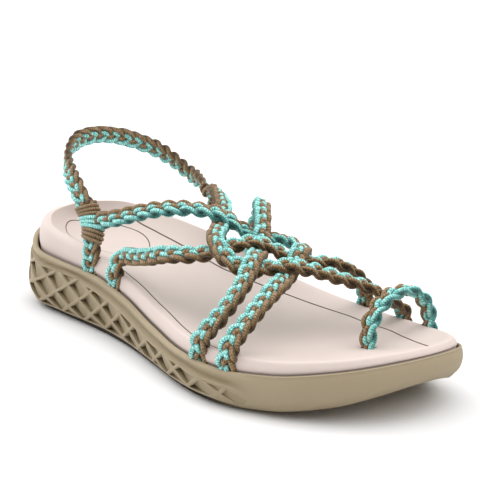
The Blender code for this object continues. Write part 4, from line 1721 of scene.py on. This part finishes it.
@dataclass
class FootForm:
    """The surface that the straps' middles lie on, over the foot."""

    sole: SoleForm
    inset: float = 4.0
    anchor_inset: float = 1.0
    side_power: float = 0.9
    top_power: float = 0.85
    step: float = 2.0
    tail: float = 1.5
    rise: float = 3.0

    def surface(self, along: float, girth: float) -> np.ndarray:
        """Return a point of the surface, at a girth in degrees from the lateral edge.

        Args:
            along: distance along the foot.
            girth: degrees from the lateral edge over the foot.

        Returns:
            The point, in the tables' millimetres.
        """
        lateral = float(self.sole.column("lateral", along)) - self.inset
        medial = float(self.sole.column("medial", along)) + self.inset
        across = cos(radians(girth))
        up = max(sin(radians(girth)), 0.0)
        bed_lateral = float(self.sole.column("bed_lateral", along))
        bed_medial = float(self.sole.column("bed_medial", along))
        base = bed_lateral * (1 + across) / 2 + bed_medial * (1 - across) / 2
        height = float(read_table(FOOT_CREST, "height", along)) - base
        reach = (lateral - medial) / 2 * np.sign(across) * abs(across) ** self.side_power
        x = (lateral + medial) / 2 + reach
        return np.array((x, along, base + height * up ** self.top_power))

    def via(self, via: Via) -> np.ndarray:
        """Return a strap's point on the foot with its outward direction, as one row.

        Args:
            via: the strap's point.

        Returns:
            Three numbers of the point and three of the direction.
        """
        medial = self.surface(via.along, min(via.girth + self.step, HALF_TURN))
        lateral = self.surface(via.along, via.girth - self.step)
        ahead = self.surface(via.along + self.step, via.girth)
        behind = self.surface(via.along - self.step, via.girth)
        outward = unit(np.cross(ahead - behind, medial - lateral))
        return np.concatenate((self.surface(via.along, via.girth) + outward * via.lift, outward))

    def anchor(self, anchor: Anchor) -> list[np.ndarray]:
        """Return the rows of a strap's end in its slot and of the slot's mouth, from the end up.

        Args:
            anchor: where the strap goes down.

        Returns:
            The two rows.
        """
        points, normals = self.sole.edge_at(self.sole.edge_run(anchor.along, anchor.side))
        heights = self.sole.heights(points, normals)
        spot = points[0] - normals[0] * self.anchor_inset
        face = np.arctan2(normals[0, 1], normals[0, 0]) + anchor.side.value * radians(anchor.turned)
        outward = (cos(face), sin(face), 0.0)
        low = float(heights.rim[0]) - self.tail
        high = float(heights.bed[0]) + self.rise
        return [np.array((*spot, low, *outward)), np.array((*spot, high, *outward))]

    def strap(self, stops: Sequence[Via | Anchor]) -> Route:
        """Turn a strap's stops into its route.

        Args:
            stops: its anchors and points, in order.

        Returns:
            The route.
        """
        rows: list[np.ndarray] = []
        for index, stop in enumerate(stops):
            if isinstance(stop, Anchor):
                ends = self.anchor(stop)
                rows += ends if index == 0 else ends[::-1]
            else:
                rows.append(self.via(stop))
        return Route(rows)


class HeelStep(NamedTuple):
    """A step of the heel strap round the ankle, and the way its face turns there, both in degrees."""

    turn: float
    face: float


@dataclass(frozen=True)
class HeelStrap:
    """The strap from one side of the sole round the back of the ankle to the other side."""

    across: float = 34.0
    back: float = 51.5
    along: float = -57.0
    shift: float = -2.0
    top: float = 82.5
    side_lateral: float = 54.0
    side_medial: float = 53.0
    rise_power: float = 0.7
    bend: float = 46.0
    binding_face: float = -40.0
    steps: tuple[HeelStep, ...] = (
        HeelStep(14, -48), HeelStep(28, -38), HeelStep(40, -6), HeelStep(53, 36), HeelStep(70, 60),
        HeelStep(90, 86), HeelStep(110, 116), HeelStep(130, 156), HeelStep(148, 196), HeelStep(166, 212),
    )

    def point(self, degrees: float) -> np.ndarray:
        """Return a point of the strap, at a turn round the ankle.

        Args:
            degrees: the turn from the lateral side, round the back.

        Returns:
            The point, in the tables' millimetres.
        """
        turn = radians(degrees)
        side = self.side_lateral + (self.side_medial - self.side_lateral) * degrees / HALF_TURN
        height = side + (self.top - side) * sin(turn) ** self.rise_power
        return np.array((self.shift + self.across * cos(turn), self.along - self.back * sin(turn), height))

    def route(self, foot: FootForm) -> Route:
        """Return the strap's route, from its lateral anchor to its medial one.

        Args:
            foot: the form of the foot that the straps lie on.

        Returns:
            The route.
        """
        binding = foot.via(LATERAL_BINDING)
        binding[3:] = cos(radians(self.binding_face)), -sin(radians(self.binding_face)), 0.0
        rows = [*foot.anchor(HEEL_ANCHORS[0]), binding]
        for step in self.steps:
            face = radians(step.face)
            rows.append(np.array((*self.point(step.turn), cos(face), -sin(face), 0.0)))
        return Route(rows + [foot.via(MEDIAL_BINDING)] + foot.anchor(HEEL_ANCHORS[1])[::-1])


@dataclass(frozen=True)
class ToeLoop:
    """The loop over the big toe."""

    inner: float = TOE_LOOP_INNER
    base: float = 25.0
    rise: float = 16.5
    steps: tuple[float, ...] = (20, 45, 70, 90, 110, 135, 160)

    def route(self, foot: FootForm) -> Route:
        """Return the loop's route, from its slot in the footbed to the medial edge.

        Args:
            foot: the form of the foot that the straps lie on.

        Returns:
            The route.
        """
        outer_end, outer_mouth = foot.anchor(TOE_LOOP_ANCHOR)
        inner_end = outer_end.copy()
        inner_end[[0, 1]] = self.inner, TOE_LOOP_ANCHOR.along
        inner_end[3:] = 1.0, 0.0, 0.0
        inner_mouth = inner_end.copy()
        inner_mouth[2] = outer_mouth[2]
        middle = (inner_end[:3] + outer_end[:3]) / 2
        half = (self.inner - outer_end[0]) / 2
        rows = [inner_end, inner_mouth]
        for degrees in self.steps:
            turn = radians(degrees)
            place = (middle[0] + half * cos(turn), middle[1], self.base + self.rise * sin(turn))
            rows.append(np.array((*place, cos(turn), 0.0, sin(turn))))
        return Route(rows + [outer_mouth, outer_end])


class Pinch(NamedTuple):
    """Where a plait is drawn in: its place on the route, the share it loses, and how far that runs."""

    place: float
    share: float
    run: float


@dataclass(frozen=True)
class Plait:
    """A plait of three strands, each a turquoise and a brown cord side by side."""

    cord_radius: float = 1.22
    pair: float = 2.3
    reach: float = 1.7
    depth: float = 1.45
    strands: int = 3
    squash: float = 1.8
    step: float = 0.9
    wander: float = 0.13
    wander_run: float = 13.0
    wander_spread: tuple[float, float] = (0.8, 1.3)

    def lay(self, route: Route, turquoise_side: Hand, chevron: Way, rng: np.random.Generator,
            bundles: dict[CordColour, CordBundle], lobes: tuple[float, float],
            pinches: Sequence[Pinch] = ()) -> None:
        """Lay a plait's cords along a route.

        Args:
            route: the strap's course.
            turquoise_side: the side of each strand on which its turquoise cord lies.
            chevron: the way in which its chevrons open.
            rng: draws the small wander of each cord.
            bundles: the meshes that the cords go into.
            lobes: the length of a chevron at the route's start and at its end.
            pinches: where the plait is drawn in.
        """
        count = max(2, round(route.length / self.step))
        places = np.linspace(0.0, route.length, count + 1)
        frames = route.frames(places)
        lobe = np.linspace(*lobes, count + 1)
        passed = np.concatenate(([0.0], np.cumsum(np.diff(places) / lobe[1:])))
        wide = np.ones(count + 1)
        for pinch in pinches:
            wide *= 1 - pinch.share * np.exp(-((places - pinch.place) / pinch.run) ** 2)
        for strand in range(self.strands):
            turn = 2 * pi * (passed + strand) / self.strands
            across = wide * self.reach * np.tanh(self.squash * np.sin(turn)) / np.tanh(self.squash)
            outward = chevron.value * self.depth * np.sin(2 * turn)
            lean = np.arctan(np.gradient(across, places))
            for colour, sign in ((CordColour.TURQUOISE, 1), (CordColour.BROWN, -1)):
                side = sign * turquoise_side.value
                offset = side * wide * self.pair / 2
                shift = self._wander(places, rng)
                middle = (
                    frames.centre
                    + frames.across * (across + offset * np.cos(lean) + shift[0])[:, None]
                    + frames.outward * (outward + shift[1])[:, None]
                    - frames.along * (offset * np.sin(lean))[:, None]
                )
                radius = self.cord_radius * np.minimum(1.0, np.sqrt(wide))
                # the cords get painted shade at their flanks and where they pass under
                bundles[colour].add(middle, radius, frames.outward, -outward / self.depth)

    def _wander(self, places: np.ndarray, rng: np.random.Generator) -> np.ndarray:
        """Return a slow random shift across and outward, for a cord that is laid by hand.

        Args:
            places: arc lengths along the strap.
            rng: draws the phases and the runs.

        Returns:
            The shift across and the shift outward, at each place.
        """
        phases = rng.uniform(0, 2 * pi, size=(2, 2))
        runs = self.wander_run * rng.uniform(*self.wander_spread, size=(2, 2))
        waves = np.sin(2 * pi * places / runs[:, :, None] + phases[:, :, None])
        return self.wander * waves.sum(axis=1)


@dataclass
class Upper:
    """The braided straps with the cord bindings at the ankle, and the toe loop."""

    foot: FootForm
    plait: Plait = Plait()
    heel_plait: Plait = Plait(cord_radius=1.2, pair=2.3, reach=2.1, depth=1.2)
    toe_plait: Plait = Plait(cord_radius=1.2, pair=2.4, reach=1.5, depth=1.35)
    heel_lobes: tuple[float, float] = (5.8, 6.6)
    toe_lobes: tuple[float, float] = (7.6, 7.6)
    flare: float = 0.3
    flare_run: float = 9.0
    heel_flare_run: float = 18.0
    bend_draw: float = 0.5
    bend_run: float = 11.0
    binding_draw: float = 0.5
    binding_run: float = 12.0
    start_draw: float = 0.4
    start_run: float = 10.0
    heel: HeelStrap = HeelStrap()
    toe: ToeLoop = ToeLoop()
    cord_sides: int = 10
    wind_steps: int = 28
    seed: int = 11

    def build(self) -> dict[str, dict[CordColour, bpy.types.Object]]:
        """Plait every strap and wind the bindings.

        Returns:
            The objects of each CAD node that they stand for, by the colour of their cords.
        """
        rng = np.random.default_rng(self.seed)
        straps = {colour: CordBundle(self.cord_sides) for colour in CordColour}
        heel = self.heel.route(self.foot)
        pinches = (
            Pinch(0.0, -self.flare, self.heel_flare_run),
            Pinch(heel.place_of(self.heel.point(self.heel.bend)), self.bend_draw, self.bend_run),
            Pinch(heel.place_of(self.foot.via(MEDIAL_BINDING)[:3]), self.binding_draw, self.binding_run),
        )
        self.heel_plait.lay(heel, Hand.LEFT, Way.AHEAD, rng, straps, self.heel_lobes, pinches)
        for plan in INSTEP_STRAPS:
            route = self.foot.strap(plan.stops)
            pinches = [Pinch(place, -self.flare, self.flare_run)
                       for place, stop in ((0.0, plan.stops[0]), (route.length, plan.stops[-1]))
                       if isinstance(stop, Anchor)]
            if plan.stops[0] == MEDIAL_BINDING:
                pinches.append(Pinch(0.0, self.start_draw, self.start_run))
            self.plait.lay(route, plan.turquoise_side, plan.chevron, rng, straps, plan.lobes, pinches)
            log.info("%s: a course of %.0f mm", plan.name, route.length)
        for binding in BINDINGS:
            self._wind(heel, binding, straps)
        loop = {colour: CordBundle(self.cord_sides) for colour in CordColour}
        self.toe_plait.lay(self.toe.route(self.foot), Hand.RIGHT, Way.AHEAD, rng, loop, self.toe_lobes)
        made = {}
        for node, name, bundles in (("upper", "straps", straps), ("toe_loop", "toe_cords", loop)):
            made[node] = {}
            for colour, bundle in bundles.items():
                made[node][colour] = bundle.build(f"{name}_{colour.value}")
        return made

    @staticmethod
    def dress(cords: dict[str, dict[CordColour, bpy.types.Object]], shading: SharedShading) -> None:
        """Give the cords their knitted finishes.

        Args:
            cords: the objects that build returned.
            shading: the node groups that the finishes share.
        """
        for colour, finish in CORD_FINISHES.items():
            knitted = finish.material(f"{colour.value}_cord", shading)
            for pieces in cords.values():
                pieces[colour].data.materials.append(knitted)

    def _wind(self, route: Route, binding: Binding, bundles: dict[CordColour, CordBundle]) -> None:
        """Wind a binding round the heel strap, band after band.

        Args:
            route: the heel strap's route.
            binding: its place, sizes and bands.
            bundles: the meshes that the cords go into.
        """
        total = sum(2 * band.radius * band.turns for band in binding.windings)
        place = route.place_of(self.foot.via(binding.via)[:3]) - binding.upwards.value * total / 2
        for band in binding.windings:
            length = 2 * band.radius * band.turns
            turn = np.linspace(0, 2 * pi * band.turns, round(self.wind_steps * band.turns) + 1)
            run = place + binding.upwards.value * length * turn / turn[-1]
            frames = route.frames(run)
            middle = (
                frames.centre
                + frames.across * (binding.wide * np.cos(turn))[:, None]
                + frames.along * (binding.tilt * np.cos(turn))[:, None]
                + frames.outward * (binding.thick * np.sin(turn))[:, None]
            )
            # painted shade at the flanks of each turn, where the turns meet
            bundles[band.colour].add(middle, band.radius, unit(middle - frames.centre))
            place += binding.upwards.value * length


# The studio

class SoftLight(NamedTuple):
    """A broad light: its name, the way towards it and its strength."""

    name: str
    toward: Place
    strength: float


@dataclass
class Studio:
    """A plain pale floor, soft light and the camera, in metres."""

    floor_size: float = 30.0
    floor_colour: Colour = (0.84, 0.84, 0.85, 1.0)
    floor_roughness: float = 0.9
    floor_specular: float = 0.1
    world_colour: Colour = (1.0, 1.0, 1.0, 1.0)
    world_low: float = 0.16
    world_high: float = 2.0
    world_power: float = 2.0
    lights: tuple[SoftLight, ...] = (
        SoftLight("heel_side", (0.25, -0.95, 0.35), 2.0),
        SoftLight("toe_side", (-0.5, 0.5, 0.8), 0.85),
    )
    light_softness: float = 60.0
    camera_place: Place = (0.33856, 0.48185, 0.1913)
    camera_target: Place = (-0.01559, 0.00767, 0.0429)
    lens: float = 96.2
    sensor: float = 36.0

    def build(self) -> None:
        """Make the floor, the lights and the camera."""
        self._floor()
        self._world()
        self._lights()
        self._camera()

    def _floor(self) -> None:
        """Lay a large pale floor."""
        bm = bmesh.new()
        bmesh.ops.create_grid(bm, x_segments=1, y_segments=1, size=self.floor_size / 2)
        floor = make_object("floor", bm, ALL_SMOOTH)
        material, plan, shader = start_material("floor_white")
        plan.feed(shader, {"Base Color": self.floor_colour, "Roughness": self.floor_roughness,
                           "Specular IOR Level": self.floor_specular})
        floor.data.materials.append(material)

    def _world(self) -> None:
        """Light the scene from all round, and most from overhead."""
        world = bpy.data.worlds.new("white_studio")
        world.use_nodes = True
        plan = NodePlan(world.node_tree)
        sky = world.node_tree.nodes["Background"]
        sky.inputs["Color"].default_value = self.world_colour
        where = plan.add("ShaderNodeTexCoord")
        parts = plan.add("ShaderNodeSeparateXYZ", None, {"Vector": where.outputs["Generated"]})
        rise = plan.math("POWER", plan.math("MAXIMUM", parts.outputs["Z"], 0.0), self.world_power)
        strength = plan.math("MULTIPLY_ADD", rise, self.world_high, self.world_low)
        world.node_tree.links.new(strength, sky.inputs["Strength"])
        bpy.context.scene.world = world
        bpy.context.scene.view_settings.view_transform = "Standard"

    def _lights(self) -> None:
        """Stand a broad soft light on either side."""
        for soft in self.lights:
            light = bpy.data.lights.new(soft.name, "SUN")
            light.energy = soft.strength
            light.angle = radians(self.light_softness)
            item = bpy.data.objects.new(soft.name, light)
            item.rotation_euler = (-Vector(soft.toward)).to_track_quat("-Z", "Y").to_euler()
            bpy.context.scene.collection.objects.link(item)

    def _camera(self) -> None:
        """Set the camera at the photograph's angle."""
        data = bpy.data.cameras.new("camera")
        data.lens = self.lens
        data.sensor_width = self.sensor
        camera = bpy.data.objects.new("camera", data)
        camera.location = self.camera_place
        gaze = Vector(self.camera_target) - Vector(self.camera_place)
        camera.rotation_euler = gaze.to_track_quat("-Z", "Y").to_euler()
        bpy.context.scene.collection.objects.link(camera)
        bpy.context.scene.camera = camera


def report_piece(item: bpy.types.Object, slot: str, *nodes: str) -> None:
    """Fix a piece to the sandal's body, hide the solids it stands for, and log its count of triangles.

    Args:
        item: the piece.
        slot: its material slot; not used.
        nodes: names of the solids that it stands for.
    """
    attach(item, BODY)
    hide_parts(*nodes)
    item.data.calc_loop_triangles()
    log.info("%s: %d triangles", item.name, len(item.data.loop_triangles))


def all_anchors() -> list[Anchor]:
    """Return every anchor at the sole's edge.

    Returns:
        The heel strap's anchors, the toe loop's, and those of the instep straps.
    """
    anchors = [*HEEL_ANCHORS, TOE_LOOP_ANCHOR]
    for plan in INSTEP_STRAPS:
        anchors += [stop for stop in plan.stops if isinstance(stop, Anchor)]
    return anchors


def main() -> None:
    """Dress the sandal, piece by piece."""
    logging.basicConfig(level=logging.INFO, format="%(name)s: %(message)s")
    for item in list(bpy.data.objects):
        bpy.data.objects.remove(item, do_unlink=True)
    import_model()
    Studio().build()
    shading = SharedShading()
    form = SoleForm()
    outsole = Outsole(form)
    sole = outsole.build()
    outsole.dress(sole, shading)
    report_piece(sole, "sole_rubber", "outsole")
    footbed = Footbed(form, all_anchors()).build(shading)
    report_piece(footbed, "footbed_foam", "footbed")
    upper = Upper(FootForm(form))
    cords = upper.build()
    upper.dress(cords, shading)
    for node, pieces in cords.items():
        for colour, item in pieces.items():
            report_piece(item, f"{colour.value}_cord", node)


if __name__ == "__main__":
    main()
